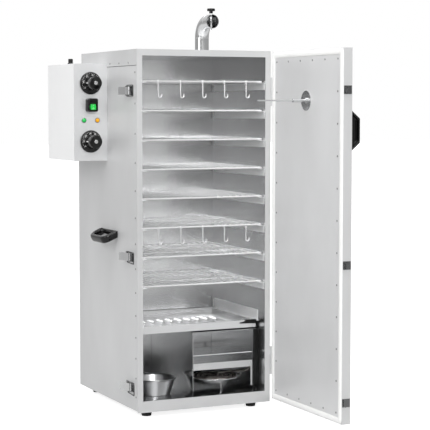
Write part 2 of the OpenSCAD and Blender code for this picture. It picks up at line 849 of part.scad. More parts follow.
// A flat spiral of half rings, each one step wider than the last
module heating_element() {
    inner = 16;
    last = inner + coil_step * coil_turns;
    lead_end = bay_right - sheet;
    lead_z = element_r + 5;
    color("#6b6460") placed() translate([dish_x, dish_y, element_z]) {
        for (k = [0 : coil_turns])
            translate([k % 2 == 0 ? 0 : coil_step, 0, 0]) rotate([0, 0, k % 2 == 0 ? 0 : 180])
                rotate_extrude(angle = 180) translate([inner + coil_step * k, 0]) circle(element_r);
        end_x = coil_turns % 2 == 0 ? -last : last + coil_step;
        end_side = coil_turns % 2 == 0 ? -1.7 : 1;
        bar([end_x, 0, 0], [end_x, end_side * 7, 0], element_r);
        bar([end_x, end_side * 5, 0], [end_x, end_side * 5, lead_z], element_r - 0.2);
        bar([end_x - 1, end_side * 5, lead_z], [lead_end - dish_x, end_side * 5, lead_z], element_r - 0.4);
        bar([inner, 0, 0], [inner, -6, 0], element_r);
        bar([inner, -4, 0], [inner, -4, lead_z], element_r - 0.2);
        bar([inner - 1, -4, lead_z], [lead_end - dish_x, -4, lead_z], element_r - 0.4);
    }
}

module drip_tray() {
    left = border_side + 6.8;
    right = chamber_right - 6.8;
    back = rack_back_y;
    rim = 5;
    slots = floor((right - left - 40) / slot_pitch);
    slot_x = (left + right) / 2 - (slots - 1) * slot_pitch / 2;
    color(bright) placed() difference() {
        union() {
            block([left, bay_setback, tray_z], [right, back, tray_rim_z]);
            block([left - rim, bay_setback + 8, tray_rim_z - sheet], [right + rim, back, tray_rim_z]);
        }
        block([left + sheet, bay_setback + sheet, tray_z + sheet],
            [right - sheet, back - sheet, tray_rim_z + 1]);
        for (k = [0 : slots - 1])
            block([slot_x + k * slot_pitch - 5, slot_y - slot_l / 2, tray_z - 1],
                [slot_x + k * slot_pitch + 5, slot_y + slot_l / 2, tray_z + 3]);
    }
}

module water_bowl() {
    base = floor_z + loose;
    color(bright) placed() translate([bowl_x, bowl_y, base]) rotate_extrude() polygon([
        [0, 0], [bowl_foot_r, 0], [bowl_rim_r - 2, bowl_h - 6], [bowl_rim_r - 2, bowl_h - 1], [bowl_rim_r + 3, bowl_h - 1],
        [bowl_rim_r + 3, bowl_h], [bowl_rim_r - 3.2, bowl_h], [bowl_rim_r - 3.2, bowl_h - 6],
        [bowl_foot_r - 0.9, sheet], [0, sheet]]);
}

// ---- Door ----
module door_shell() {
    color(steel) placed() opened() difference() {
        block([door_left, outer_face_y, door_bottom], [door_right, inner_face_y, door_top]);
        block([door_left + sheet, outer_face_y + sheet, door_bottom + sheet],
            [door_right - sheet, inner_face_y - sheet, door_top - sheet]);
        block([door_left + flange_w, outer_face_y + 5, door_bottom + flange_w],
            [door_right - flange_w, 5, door_top - flange_w]);
        door_panel_screws(screw_shank_r + loose, inner_face_y - 3, 5);
        bar([probe_x, outer_face_y - 5, probe_z], [probe_x, outer_face_y + 5, probe_z], sleeve_r + loose);
    }
}

module door_panel_screws(r, from_y, to_y) {
    columns = 5;
    rows = 11;
    across = (door_w - 2 * door_screw_inset) / columns;
    up = (door_top - door_bottom - 2 * door_screw_inset) / rows;
    for (z = [door_bottom + door_screw_inset, door_top - door_screw_inset], k = [0 : columns])
        bar([door_left + door_screw_inset + k * across, from_y, z],
            [door_left + door_screw_inset + k * across, to_y, z], r);
    for (x = [door_left + door_screw_inset, door_right - door_screw_inset], k = [1 : rows - 1])
        bar([x, from_y, door_bottom + door_screw_inset + k * up],
            [x, to_y, door_bottom + door_screw_inset + k * up], r);
}

module door_inner_panel() {
    edge = seal_w + 1.2;
    color(bright) placed() opened() difference() {
        block([door_left + edge, inner_face_y, door_bottom + edge],
            [door_right - edge, panel_face_y, door_top - edge]);
        door_panel_screws(screw_shank_r + loose, -20, 5);
        bar([probe_x, -20, probe_z], [probe_x, 5, probe_z], sleeve_r + loose);
    }
}

module door_insulation() {
    edge = flange_w + 1;
    color("#cfc8a8") placed() opened() difference() {
        block([door_left + edge, outer_face_y + sheet + loose, door_bottom + edge],
            [door_right - edge, inner_face_y - loose, door_top - edge]);
        bar([probe_x, -60, probe_z], [probe_x, 5, probe_z], sleeve_r + 1);
    }
}

// A flat silicone band with rounded corners
module door_seal() {
    corner = 10;
    color("white") placed() opened() difference() {
        seal_plate(0.8, corner);
        translate([0, 0.5, 0]) seal_plate(0.8 + seal_w, 1);
        translate([0, -0.5, 0]) seal_plate(0.8 + seal_w, 1);
    }
}

module seal_plate(edge, corner) {
    low_x = door_left + edge + corner;
    high_x = door_right - edge - corner;
    low_z = door_bottom + edge + corner;
    high_z = door_top - edge - corner;
    for (x = [low_x, high_x], z = [low_z, high_z])
        bar([x, inner_face_y, z], [x, seal_face_y, z], corner);
    block([low_x, inner_face_y, low_z - corner], [high_x, seal_face_y, high_z + corner]);
    block([low_x - corner, inner_face_y, low_z], [high_x + corner, seal_face_y, high_z]);
}

module door_screws() {
    color("silver") placed() opened() {
        door_panel_screws(screw_head_r, panel_face_y, panel_face_y + 1);
        door_panel_screws(screw_shank_r - loose, inner_face_y - 4, panel_face_y + 0.5);
    }
}

// A solid trapezoid with a finger recess in each side
module door_handle() {
    z = cabinet_h - pull_drop;
    half = pull_l / 2;
    top_half = half * 0.59;
    depth = 30;
    outline = [[0, -half], [pull_depth, -top_half], [pull_depth, top_half], [0, half]];
    hollow = [[5, 11 - half], [pull_depth - 5, 4 - top_half], [pull_depth - 5, top_half - 4], [5, half - 11]];
    color(black) placed() opened() translate([door_left + 3, outer_face_y, z]) difference() {
        rotate([90, 0, 90]) mirror([1, 0, 0]) linear_extrude(depth) polygon(outline);
        for (x = [-1, depth - 11])
            translate([x, 0, 0]) rotate([90, 0, 90]) mirror([1, 0, 0]) linear_extrude(12) polygon(hollow);
    }
}

// Each keeper is a plate on the door's free edge with a lip for the loop
module door_keepers() {
    lip_y = hook_bar_y + loop_r + 0.5;
    color(bright) placed() opened() for (z = latch_zs) {
        block([door_left - 1.5, outer_face_y + 2, z - 11], [door_left, inner_face_y - 1, z + 11]);
        block([loop_pivot_x + 0.4, lip_y, z - 9], [door_left - 1, lip_y + 1.5, z + 9]);
    }
}

module thermometer_dial() {
    color(black) placed() opened() translate([probe_x, outer_face_y, probe_z]) rotate([90, 0, 0]) {
        cylinder(h = 3, r = 34);
        translate([0, 0, 2.5]) cylinder(h = 6, r1 = 34, r2 = 31);
    }
}

module thermometer_probe() {
    color(bright) placed() opened() {
        bar([probe_x, outer_face_y, probe_z], [probe_x, panel_face_y + 41, probe_z], sleeve_r);
        bar([probe_x, panel_face_y + 40, probe_z], [probe_x, panel_face_y + probe_l, probe_z], probe_r);
        bar([probe_x, panel_face_y, probe_z], [probe_x, panel_face_y + 1.2, probe_z], 27);
        bar([probe_x, panel_face_y + 1, probe_z], [probe_x, panel_face_y + 6, probe_z], 9);
    }
}

// ---- Racks and hooks ----
module rack(level) {
    first_wire = -8.75 * wire_pitch;
    wires = floor((rack_right - cabinet_w / 2 - first_wire - 5) / wire_pitch);
    wire_z = rack_rod_r + wire_r - 0.6;
    color(bright) placed() translate([0, 0, rack_z(level)]) {
        for (y = [rack_setback, rack_back_y]) bar([rack_left, y, 0], [rack_right, y, 0], rack_rod_r);
        for (x = [rack_left + side_rod_r + 0.8, rack_right - side_rod_r - 0.8])
            bar([x, rack_setback, 0], [x, rack_back_y, 0], side_rod_r);
        for (share = [1 / 3, 2 / 3])
            bar([rack_left + 1, rack_setback + share * (rack_back_y - rack_setback), 0.2],
                [rack_right - 1, rack_setback + share * (rack_back_y - rack_setback), 0.2], 2);
        for (k = [0 : wires])
            bar([cabinet_w / 2 + first_wire + k * wire_pitch, rack_setback - 3.5, wire_z],
                [cabinet_w / 2 + first_wire + k * wire_pitch, rack_back_y + 3.5, wire_z], wire_r);
    }
}

module rack_1() {
    rack(1);
}

module rack_2() {
    rack(2);
}

module rack_3() {
    rack(3);
}

module rack_4() {
    rack(4);
}

module rack_5() {
    rack(5);
}

module rack_6() {
    rack(6);
}

module rack_7() {
    rack(7);
}

module rack_8() {
    rack(8);
}

// Five hooks on a rack's front rod, each with its bend towards the right
module hooks(level) {
    foot_z = hook_wire_r + hook_bend_r - hook_drop;
    color(bright) placed() for (k = [-2 : 2])
        translate([cabinet_w / 2 + k * hook_pitch, rack_setback, rack_z(level)]) {
            rotate([0, -90, 0]) rotate([0, 0, -90]) rotate_extrude(angle = 240)
                translate([hook_ring_r, 0]) circle(hook_wire_r);
            bar([0, -hook_ring_r, 0], [0, -hook_ring_r, foot_z], hook_wire_r);
            translate([hook_bend_r, -hook_ring_r, foot_z]) rotate([-90, 0, 0])
                rotate_extrude(angle = 180) translate([hook_bend_r, 0]) circle(hook_wire_r);
            bar([2 * hook_bend_r, -hook_ring_r, foot_z], [2 * hook_bend_r, -hook_ring_r, foot_z + 5], hook_wire_r);
        }
}

module hooks_upper() {
    hooks(1);
}

module hooks_lower() {
    hooks(6);
}

left_side_panel();
right_side_panel();
top_cap();
base_pan();
rear_cover();
front_frame();
chamber_liner();
insulation();
rails();
feet();
casing_screws();
side_handles();
chimney_pipe();
damper_blade();
damper_knob();
control_housing();
control_panel();
thermostat();
timer();
thermostat_dial();
timer_dial();
switch_housing();
switch_rocker();
pilot_lamps();
cable_gland();
terminal_block();
latch_bases();
latch_lever_low();
latch_lever_mid();
latch_lever_top();
latch_loop_low();
latch_loop_mid();
latch_loop_top();
hinge_leaves_cabinet();
hinge_leaves_door();
heater_bay();
heat_shield();
heater_dish();
heating_element();
drip_tray();
water_bowl();
door_shell();
door_inner_panel();
door_insulation();
door_seal();
door_screws();
door_handle();
door_keepers();
thermometer_dial();
thermometer_probe();
rack_1();
rack_2();
rack_3();
rack_4();
rack_5();
rack_6();
rack_7();
rack_8();
hooks_upper();
hooks_lower();
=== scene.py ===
"""Looks of an upright electric smoker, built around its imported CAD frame.

The file follows the object as it is put together: casing, chamber, fittings outside,
controls, latches and hinges, lower bay, door, racks, and then the studio.
"""
import json
import math

import bmesh
import bpy
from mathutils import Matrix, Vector


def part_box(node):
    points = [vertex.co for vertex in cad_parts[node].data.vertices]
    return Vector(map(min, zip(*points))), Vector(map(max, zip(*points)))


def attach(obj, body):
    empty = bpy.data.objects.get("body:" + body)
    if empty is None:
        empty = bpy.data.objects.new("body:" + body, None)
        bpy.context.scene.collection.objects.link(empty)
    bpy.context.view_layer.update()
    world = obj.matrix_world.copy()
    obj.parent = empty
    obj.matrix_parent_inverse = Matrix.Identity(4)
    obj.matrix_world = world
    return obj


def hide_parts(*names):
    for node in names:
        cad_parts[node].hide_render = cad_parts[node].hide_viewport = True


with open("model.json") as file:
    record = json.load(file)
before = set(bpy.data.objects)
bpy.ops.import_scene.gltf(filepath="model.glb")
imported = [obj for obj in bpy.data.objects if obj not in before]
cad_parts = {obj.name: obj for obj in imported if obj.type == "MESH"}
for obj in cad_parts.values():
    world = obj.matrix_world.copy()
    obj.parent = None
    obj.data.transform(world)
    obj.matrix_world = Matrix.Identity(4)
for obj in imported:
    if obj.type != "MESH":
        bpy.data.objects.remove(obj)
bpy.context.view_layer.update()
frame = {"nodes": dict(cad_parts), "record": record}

# ---- Casing ----
# Two side panels, a top cap, a base pan and a shallow cover on the back, all folded from
# thin satin stainless sheet with a vertical grain, and screwed to the front frame.


class Value:
    """One shader value. Sums, differences and products of values become Math nodes."""

    def __init__(self, tree, socket):
        self.tree = tree
        self.socket = socket

    def worked(self, operation, first, second):
        return self.tree.node("ShaderNodeMath", {"operation": operation}, {0: first, 1: second})

    def __add__(self, other):
        return self.worked("ADD", self, other)

    def __sub__(self, other):
        return self.worked("SUBTRACT", self, other)

    def __rsub__(self, other):
        return self.worked("SUBTRACT", other, self)

    def __mul__(self, other):
        return self.worked("MULTIPLY", self, other)

    __radd__ = __add__
    __rmul__ = __mul__


class Tree:
    """The nodes of a material or of the surround. One method makes them all."""

    def __init__(self, owner):
        owner.use_nodes = True
        self.nodes = owner.node_tree.nodes
        self.links = owner.node_tree.links

    def feed(self, socket, value):
        if isinstance(value, Value):
            self.links.new(value.socket, socket)
        else:
            socket.default_value = value

    def node(self, kind, settings, sockets, output=0):
        made = self.nodes.new(kind)
        for name, setting in settings.items():
            if name == "stops":
                stops = made.color_ramp.elements
                while len(stops) < len(setting):
                    stops.new(0.5)
                for stop, (place, tone) in zip(stops, setting):
                    stop.position = place
                    stop.color = (tone, tone, tone, 1)
            else:
                setattr(made, name, setting)
        for name, value in sockets.items():
            self.feed(made.inputs[name], value)
        return Value(self, made.outputs[output])

    def steps(self, value, stops):
        return self.node("ShaderNodeValToRGB", {"stops": stops}, {"Fac": value})

    def mixed(self, mask, first, second):
        return self.node("ShaderNodeMix", {"data_type": "RGBA"}, {0: mask, 6: first, 7: second}, 2)


class Finish(Tree):
    """One material. Fixed numbers sit on the shader's own sockets; the rest is linked."""

    def __init__(self, name, colour, fixed):
        self.material = bpy.data.materials.new(name)
        super().__init__(self.material)
        self.shader = self.nodes["Principled BSDF"]
        self.give("Base Color", (*colour, 1))
        for socket, number in fixed.items():
            self.give(socket, number)

    def give(self, socket, value):
        self.feed(self.shader.inputs[socket], value)

    def grain(self, scale, stretch=(1, 1, 1), detail=3.0):
        """Noise with that many waves in a metre, stretched along the axes."""
        place = self.node("ShaderNodeTexCoord", {}, {}, "Object")
        scales = tuple(scale * part for part in stretch)
        turned = self.node("ShaderNodeMapping", {}, {"Vector": place, "Scale": scales})
        return self.node("ShaderNodeTexNoise", {}, {"Vector": turned, "Scale": 1.0, "Detail": detail})

    def between(self, mask, first, second):
        return self.mixed(mask, (*first, 1), (*second, 1))

    def raised(self, height, depth, strength=1.0):
        sockets = {"Height": height, "Distance": depth, "Strength": strength}
        self.give("Normal", self.node("ShaderNodeBump", {}, sockets))


def satin_steel(name, tone, roughness, stretch=(1, 1, 0.02), metallic=1.0):
    """Stainless sheet: fine grain one way, faint wiping marks, a few darker clouds."""
    finish = Finish(name, tone, {"Metallic": metallic})
    lines = finish.grain(1400, stretch)
    wiped = finish.grain(5, (1, 1, 0.5), 5.0)
    low = tuple(part * 0.94 for part in tone)
    high = tuple(min(1.0, part * 1.05) for part in tone)
    clouds = finish.steps(wiped, [(0.3, 0.0), (0.7, 1.0)])
    finish.give("Base Color", finish.between(clouds, low, high))
    finish.give("Roughness", roughness - 0.08 + lines * 0.09 + wiped * 0.07)
    finish.raised(lines, 0.00003, 0.35)
    return finish.material


def piece(name, shape, finish, body, replaces=(), sharp=35):
    """Makes one named object of a bmesh, smooth except at its sharp folds."""
    mesh = bpy.data.meshes.new(name)
    bmesh.ops.recalc_face_normals(shape, faces=shape.faces)
    shape.to_mesh(mesh)
    shape.free()
    mesh.polygons.foreach_set("use_smooth", [True] * len(mesh.polygons))
    mesh.set_sharp_from_angle(angle=math.radians(sharp))
    mesh.materials.append(finish)
    made = bpy.data.objects.new(name, mesh)
    bpy.context.collection.objects.link(made)
    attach(made, body)
    if replaces:
        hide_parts(*replaces)
    return made


def solid_of(node):
    """The CAD node's own surface as clean faces: doubled corners joined, flats merged."""
    shape = bmesh.new()
    shape.from_mesh(frame["nodes"][node].data)
    bmesh.ops.remove_doubles(shape, verts=shape.verts, dist=1e-6)
    flat = math.radians(0.5)
    bmesh.ops.dissolve_limit(shape, angle_limit=flat, verts=shape.verts, edges=shape.edges)
    return shape


def eased(name, node, finish, body, edge=0.0005, segments=2):
    """A CAD solid with its edges broken, as a press brake or a mould leaves them."""
    made = piece(name, solid_of(node), finish, body, [node])
    bevel = made.modifiers.new("edges", "BEVEL")
    bevel.width = edge
    bevel.segments = segments
    bevel.limit_method = "ANGLE"
    bevel.angle_limit = math.radians(40)
    bevel.use_clamp_overlap = True
    bevel.harden_normals = True
    return made


casing_steel = satin_steel("casing_steel", (0.68, 0.683, 0.687), 0.48, metallic=0.4)
casing_sheets = {
    "left_side_panel": "left_side_sheet",
    "right_side_panel": "right_side_sheet",
    "top_cap": "cap_sheet",
    "base_pan": "base_sheet",
    "rear_cover": "rear_sheet",
}
for node, name in casing_sheets.items():
    eased(name, node, casing_steel, "cabinet", 0.0006)

# The front frame is a plain ring of the same sheet, in a finish of its own, a little darker and smoother.
frame_steel = satin_steel("frame_steel", (0.64, 0.643, 0.647), 0.42, metallic=0.5)
eased("front_frame_ring", "front_frame", frame_steel, "cabinet", 0.0005)


def joined(shapes):
    """Several bmesh shapes as one."""
    whole = bmesh.new()
    for shape in shapes:
        carried = bpy.data.meshes.new("carried")
        shape.to_mesh(carried)
        shape.free()
        whole.from_mesh(carried)
        bpy.data.meshes.remove(carried)
    return whole


def box_shape(low, high, radius=0.0, segments=3):
    """A block between two corners with rounded edges."""
    shape = bmesh.new()
    bmesh.ops.create_cube(shape, size=1.0)
    for vert in shape.verts:
        for axis in range(3):
            vert.co[axis] = high[axis] if vert.co[axis] > 0 else low[axis]
    if radius:
        bmesh.ops.bevel(shape, geom=list(shape.edges), offset=radius, segments=segments,
                        profile=0.5, affect="EDGES", clamp_overlap=True)
    return shape


# A thin dark strip closes the seam under the cap on both sides; it is painted shade, standing in for the
# shadow in the gap.
painted_seam_shade = satin_steel("painted_seam_shade", (0.05, 0.05, 0.05), 0.6, (1, 1, 1), 0.0)
left_x, right_x = (corner.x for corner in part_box("front_frame"))
middle_x = (left_x + right_x) / 2
cap_points = [vert.co for vert in frame["nodes"]["top_cap"].data.vertices]
skirt = [point for point in cap_points if point.x < left_x + 0.0004]
seam_z = min(point.z for point in skirt)
seam_y = min(point.y for point in skirt), max(point.y for point in skirt)
seam_shade_out = 0.0005
seam_shade_strips = [box_shape(Vector((x - seam_shade_out, seam_y[0], seam_z - 0.0009)),
                   Vector((x + seam_shade_out, seam_y[1], seam_z + 0.0005)), 0.0004, 2)
         for x in (left_x, right_x)]
piece("cap_seam_painted_shade", joined(seam_shade_strips), painted_seam_shade, "cabinet")

# ---- Feet ----
# Four moulded rubber feet, tapered downwards, with a rounded sole and a fine parting line.
# One is fixed under each corner of the base pan.


def moved(ring_points, origin, way):
    """Points of a ring around the z axis, carried to an origin with the axis along way."""
    turn = Vector((0, 0, 1)).rotation_difference(way)
    return [origin + turn @ point for point in ring_points]


def lofted(rings, around=False):
    """A skin over rings of equal length, closed at both ends or run round to the start."""
    shape = bmesh.new()
    rows = [[shape.verts.new(point) for point in ring] for ring in rings]
    count = len(rows[0])
    pairs = list(zip(rows, rows[1:]))
    if around:
        pairs.append((rows[-1], rows[0]))
    for first, second in pairs:
        for k in range(count):
            after = (k + 1) % count
            shape.faces.new((first[k], first[after], second[after], second[k]))
    if not around:
        shape.faces.new(rows[0][::-1])
        shape.faces.new(rows[-1])
    return shape


def softened(points, radius, steps=5, closed=False):
    """A polyline of vectors with each corner rounded by a short curve."""
    line = []
    count = len(points)
    for k, corner in enumerate(points):
        if not closed and k in (0, count - 1):
            line.append(corner)
            continue
        before, after = points[k - 1], points[(k + 1) % count]
        reach = min(radius, (before - corner).length * 0.49, (after - corner).length * 0.49)
        start = corner + (before - corner).normalized() * reach
        end = corner + (after - corner).normalized() * reach
        for step in range(steps + 1):
            t = step / steps
            line.append(start.lerp(corner, t).lerp(corner.lerp(end, t), t))
    return line


def turned(profile, origin, way, radius=0.0, steps=56, around=False):
    """A lathe shape: (radius, height) pairs spun about a line through origin along way."""
    outline = [Vector(pair) for pair in profile]
    if radius:
        outline = softened(outline, radius, closed=around)
    rings = []
    for out, height in outline:
        ring = []
        for k in range(steps):
            angle = math.tau * k / steps
            across = max(out, 1e-5)
            ring.append(Vector((across * math.cos(angle), across * math.sin(angle), height)))
        rings.append(moved(ring, origin, way))
    return lofted(rings, around)


def islands(node):
    """(lowest, highest) corners of each separate solid in a CAD node."""
    shape = bmesh.new()
    shape.from_mesh(frame["nodes"][node].data)
    bmesh.ops.remove_doubles(shape, verts=shape.verts, dist=1e-6)
    left = set(shape.verts)
    found = []
    while left:
        group, edge_of_group = set(), [left.pop()]
        while edge_of_group:
            vert = edge_of_group.pop()
            group.add(vert)
            for link in vert.link_edges:
                other = link.other_vert(vert)
                if other in left:
                    left.discard(other)
                    edge_of_group.append(other)
        low = Vector([min(vert.co[axis] for vert in group) for axis in range(3)])
        high = Vector([max(vert.co[axis] for vert in group) for axis in range(3)])
        found.append((low, high))
    shape.free()
    return sorted(found, key=lambda pair: tuple(pair[0]))


def moulded(name, colour, roughness, shine=0.5, speckle=2600):
    """Moulded plastic or rubber: slight mottling in lighter clouds, and a fine skin."""
    finish = Finish(name, colour, {"Specular IOR Level": shine})
    skin = finish.grain(speckle, detail=2.0)
    cloud = finish.grain(22, detail=4.0)
    high = tuple(min(1.0, part * 1.25 + 0.002) for part in colour)
    finish.give("Base Color", finish.between(cloud, colour, high))
    finish.give("Roughness", roughness - 0.04 + cloud * 0.09)
    finish.raised(skin, 0.00002, 0.25)
    return finish.material


foot_rubber = moulded("foot_rubber", (0.018, 0.018, 0.019), 0.62)
for k, (low, high) in enumerate(islands("feet")):
    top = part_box("base_pan")[0].z
    outer = (high.x - low.x) / 2
    height = top - low.z
    middle = Vector(((low.x + high.x) / 2, (low.y + high.y) / 2, low.z))
    profile = [(0, 0), (outer - 0.0035, 0), (outer - 0.0018, height * 0.55),
               (outer - 0.0024, height * 0.58), (outer - 0.0010, height * 0.66),
               (outer, height), (0, height)]
    piece(f"foot_{k + 1}", turned(profile, middle, Vector((0, 0, 1)), 0.0009), foot_rubber,
          "cabinet", ["feet"])

# ---- Screws ----
# Cross-head pan screws of plated steel hold the casing, the rear cover and the door's
# inner panel. Each has a domed head with a cross recess over a plain shank.


def pan_head(origin, way, radius, height):
    """The domed head with its recess, as rings of points pushed in along two bars."""
    rings = []
    for out, rise in ((radius, 0), (radius, 0.45), (radius * 0.93, 0.75), (radius * 0.75, 0.93),
                      (radius * 0.56, 0.99), (radius * 0.54, 1.0), (radius * 0.36, 1.0),
                      (radius * 0.2, 1.0), (radius * 0.05, 1.0)):
        ring = []
        for k in range(32):
            angle = math.tau * (k + 0.5) / 32
            x, y = out * math.cos(angle), out * math.sin(angle)
            in_bar = min(abs(x), abs(y)) < radius * 0.17 and out < radius * 0.55
            ring.append(Vector((x, y, height * (rise - (0.62 if in_bar else 0)))))
        rings.append(moved(ring, origin, way))
    return lofted(rings)


screw_r = 0.0026
screw_steel = satin_steel("screw_steel", (0.3, 0.3, 0.3), 0.3, (1, 1, 1))
back_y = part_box("rear_cover")[1].y
heads = []
for low, high in islands("casing_screws"):
    middle = (low + high) / 2
    if high.y > back_y:
        spot, way = Vector((middle.x, back_y, middle.z)), Vector((0, 1, 0))
    else:
        side = math.copysign(1, middle.x - middle_x)
        face_x = right_x if side > 0 else left_x
        spot, way = Vector((face_x, middle.y, middle.z)), Vector((side, 0, 0))
    heads.append(pan_head(spot, way, screw_r, 0.0012))
piece("casing_screw_heads", joined(heads), screw_steel, "cabinet", ["casing_screws"])

panel_face_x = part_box("door_inner_panel")[0].x
heads = []
for low, high in islands("door_screws"):
    spot = Vector((panel_face_x, (low.y + high.y) / 2, (low.z + high.z) / 2))
    heads.append(pan_head(spot, Vector((-1, 0, 0)), screw_r, 0.001))
piece("door_screw_heads", joined(heads), screw_steel, "door", ["door_screws"])

# ---- Chamber liner ----
# One bright stainless box, welded, brushed across and polished, so that it mirrors the
# racks and the light at the opening. Wiping has left it a little uneven.
liner_steel = satin_steel("liner_steel", (0.64, 0.643, 0.647), 0.23, (0.03, 0.03, 1))
eased("liner_box", "chamber_liner", liner_steel, "cabinet", 0.0004)

# ---- Insulation ----
# Slabs of pale mineral wool fill the walls, the back, the top and the door. They are cut
# with a knife, so the edges are torn and the faces bristle with fibres.
wool = Finish("mineral_wool", (0.62, 0.56, 0.36), {"Roughness": 0.95})
fibres = wool.grain(700, (1, 0.2, 1), 6.0)
layers = wool.grain(60, (1, 1, 3), 3.0)
wool.give("Base Color", wool.between(fibres, (0.5, 0.44, 0.27), (0.74, 0.69, 0.5)))
wool.raised(fibres + layers, 0.0012)
for node, body in (("insulation", "cabinet"), ("door_insulation", "door")):
    eased(f"{node}_slabs", node, wool.material, body, 0.002, 3)

# ---- Rails ----
# Folded angle rails, spot welded to the liner in pairs: eight for the racks and one pair,
# turned up, that carries the drip tray.
rail_steel = satin_steel("rail_steel", (0.88, 0.883, 0.887), 0.36, (1, 0.02, 1), 0.45)
eased("folded_rails", "rails", rail_steel, "cabinet", 0.0003)

# ---- Side handles ----
# A glossy black bow on a narrow base strip, moulded in one piece and sloping outwards and
# down, with an oval grip. One is bolted to each side.


def swept(path, section, normal, around=False):
    """A section of (across, along normal) pairs carried along a flat path of vectors."""
    rings = []
    count = len(path)
    for k, point in enumerate(path):
        before = path[k - 1] if around or k else path[k]
        after = path[(k + 1) % count] if around or k < count - 1 else path[k]
        across = (after - before).normalized().cross(normal).normalized()
        rings.append([point + across * pair[0] + normal * pair[1] for pair in section])
    return lofted(rings, around)


def oval(half_width, half_height, power=2.0, steps=24):
    """A superellipse: power 2 is an ellipse, and more is squarer."""
    points = []
    for k in range(steps):
        angle = math.tau * k / steps
        c, s = math.cos(angle), math.sin(angle)
        points.append((half_width * math.copysign(abs(c) ** (2 / power), c),
                       half_height * math.copysign(abs(s) ** (2 / power), s)))
    return points


gloss_black = moulded("gloss_black", (0.0015, 0.0015, 0.0015), 0.1, 0.42, 900)
handle_low, handle_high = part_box("side_handles")
handle_middle = (handle_low.y + handle_high.y) / 2
handle_half = (handle_high.y - handle_low.y) / 2
handle_droop = math.radians(24)
handle_reach = 0.046
strip_rise, strip_drop, strip_out = 0.0085, 0.0065, 0.004
for side, word in ((-1, "left"), (1, "right")):
    root = Vector((left_x if side < 0 else right_x, handle_middle, handle_high.z - strip_rise))
    out = Vector((side * math.cos(handle_droop), 0, -math.sin(handle_droop)))
    normal = Vector((side * math.sin(handle_droop), 0, math.cos(handle_droop)))
    corners = [(0.003, -handle_half + 0.0065), (handle_reach - 0.013, -handle_half + 0.0065),
               (handle_reach - 0.006, -handle_half + 0.017),
               (handle_reach - 0.006, handle_half - 0.024),
               (handle_reach - 0.022, handle_half - 0.0065), (0.003, handle_half - 0.0065)]
    path = [root + out * u + Vector((0, v, 0)) for u, v in corners]
    bow = swept(softened(path, 0.016, 7), oval(0.0068, 0.0104, 3.0), normal)
    strip = box_shape(Vector((min(0, side * strip_out), -handle_half, -strip_drop)) + root,
                      Vector((max(0, side * strip_out), handle_half, strip_rise)) + root, 0.0018)
    pad_profile = [(0, 0), (0.0105, 0), (0.009, 0.006), (0.0065, 0.009), (0, 0.009)]
    pad_way = Vector((side, 0, -0.3)).normalized()
    pads = [turned(pad_profile, root + Vector((0, end * (handle_half - 0.0105), 0)), pad_way, 0.002)
            for end in (-1, 1)]
    piece(f"side_handle_{word}", joined([bow, strip] + pads), gloss_black, "cabinet",
          ["side_handles"])

# ---- Chimney ----
# A bright stainless pipe with one welded elbow and a plain turned collar. A flat damper
# blade on a rod turns inside the mouth, and a fluted black knob sits on the rod.
pipe_steel = satin_steel("pipe_steel", (0.74, 0.745, 0.75), 0.16, (1, 1, 0.05))
pipe_low, pipe_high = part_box("chimney_pipe")
pipe_r = 0.020
pipe_wall = 0.0012
elbow_r = 0.045
pipe_x = (pipe_low.x + pipe_high.x) / 2
mouth_z = pipe_high.z - pipe_r
cap_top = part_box("top_cap")[1].z
riser_y = pipe_high.y - 0.032
bend_middle = Vector((pipe_x, riser_y - elbow_r, mouth_z - elbow_r))
path = [Vector((pipe_x, riser_y, pipe_low.z)), Vector((pipe_x, riser_y, cap_top))]
for k in range(17):
    angle = math.radians(90) * k / 16
    path.append(bend_middle + Vector((0, elbow_r * math.cos(angle), elbow_r * math.sin(angle))))
path.append(Vector((pipe_x, pipe_low.y, mouth_z)))


def pipe_skin(line, outer, inner, normal):
    """A tube with a wall: the outside run back along the inside, so both mouths are open."""
    rings = []
    for radius, points in ((outer, line), (inner, line[::-1])):
        for k, point in enumerate(points):
            before, after = points[max(k - 1, 0)], points[min(k + 1, len(points) - 1)]
            along = (after - before).normalized() * (1 if radius == outer else -1)
            across = along.cross(normal).normalized()
            ring = []
            for j in range(48):
                angle = math.tau * j / 48
                ring.append(point + (across * math.cos(angle) + normal * math.sin(angle)) * radius)
            rings.append(ring)
    return lofted(rings, around=True)


pipe = pipe_skin(path, pipe_r, pipe_r - pipe_wall, Vector((1, 0, 0)))
collar = turned([(pipe_r, 0), (0.032, 0), (0.032, 0.0012), (pipe_r + 0.003, 0.0012), (pipe_r, 0.004)],
                Vector((pipe_x, riser_y, cap_top)), Vector((0, 0, 1)), 0.0005, around=True)
weld_profile = [(pipe_r - 0.0004, -0.0011), (pipe_r + 0.0004, -0.0006),
                (pipe_r + 0.0004, 0.0006), (pipe_r - 0.0004, 0.0011)]
welds = [turned(weld_profile, spot, way, 0.0004, around=True)
         for spot, way in ((path[2], Vector((0, 0, 1))), (path[-2], Vector((0, 1, 0))))]
piece("chimney_elbow", joined([pipe, collar] + welds), pipe_steel, "cabinet",
      ["chimney_pipe"])
eased("damper_plate", "damper_blade", pipe_steel, "damper", 0.0003)

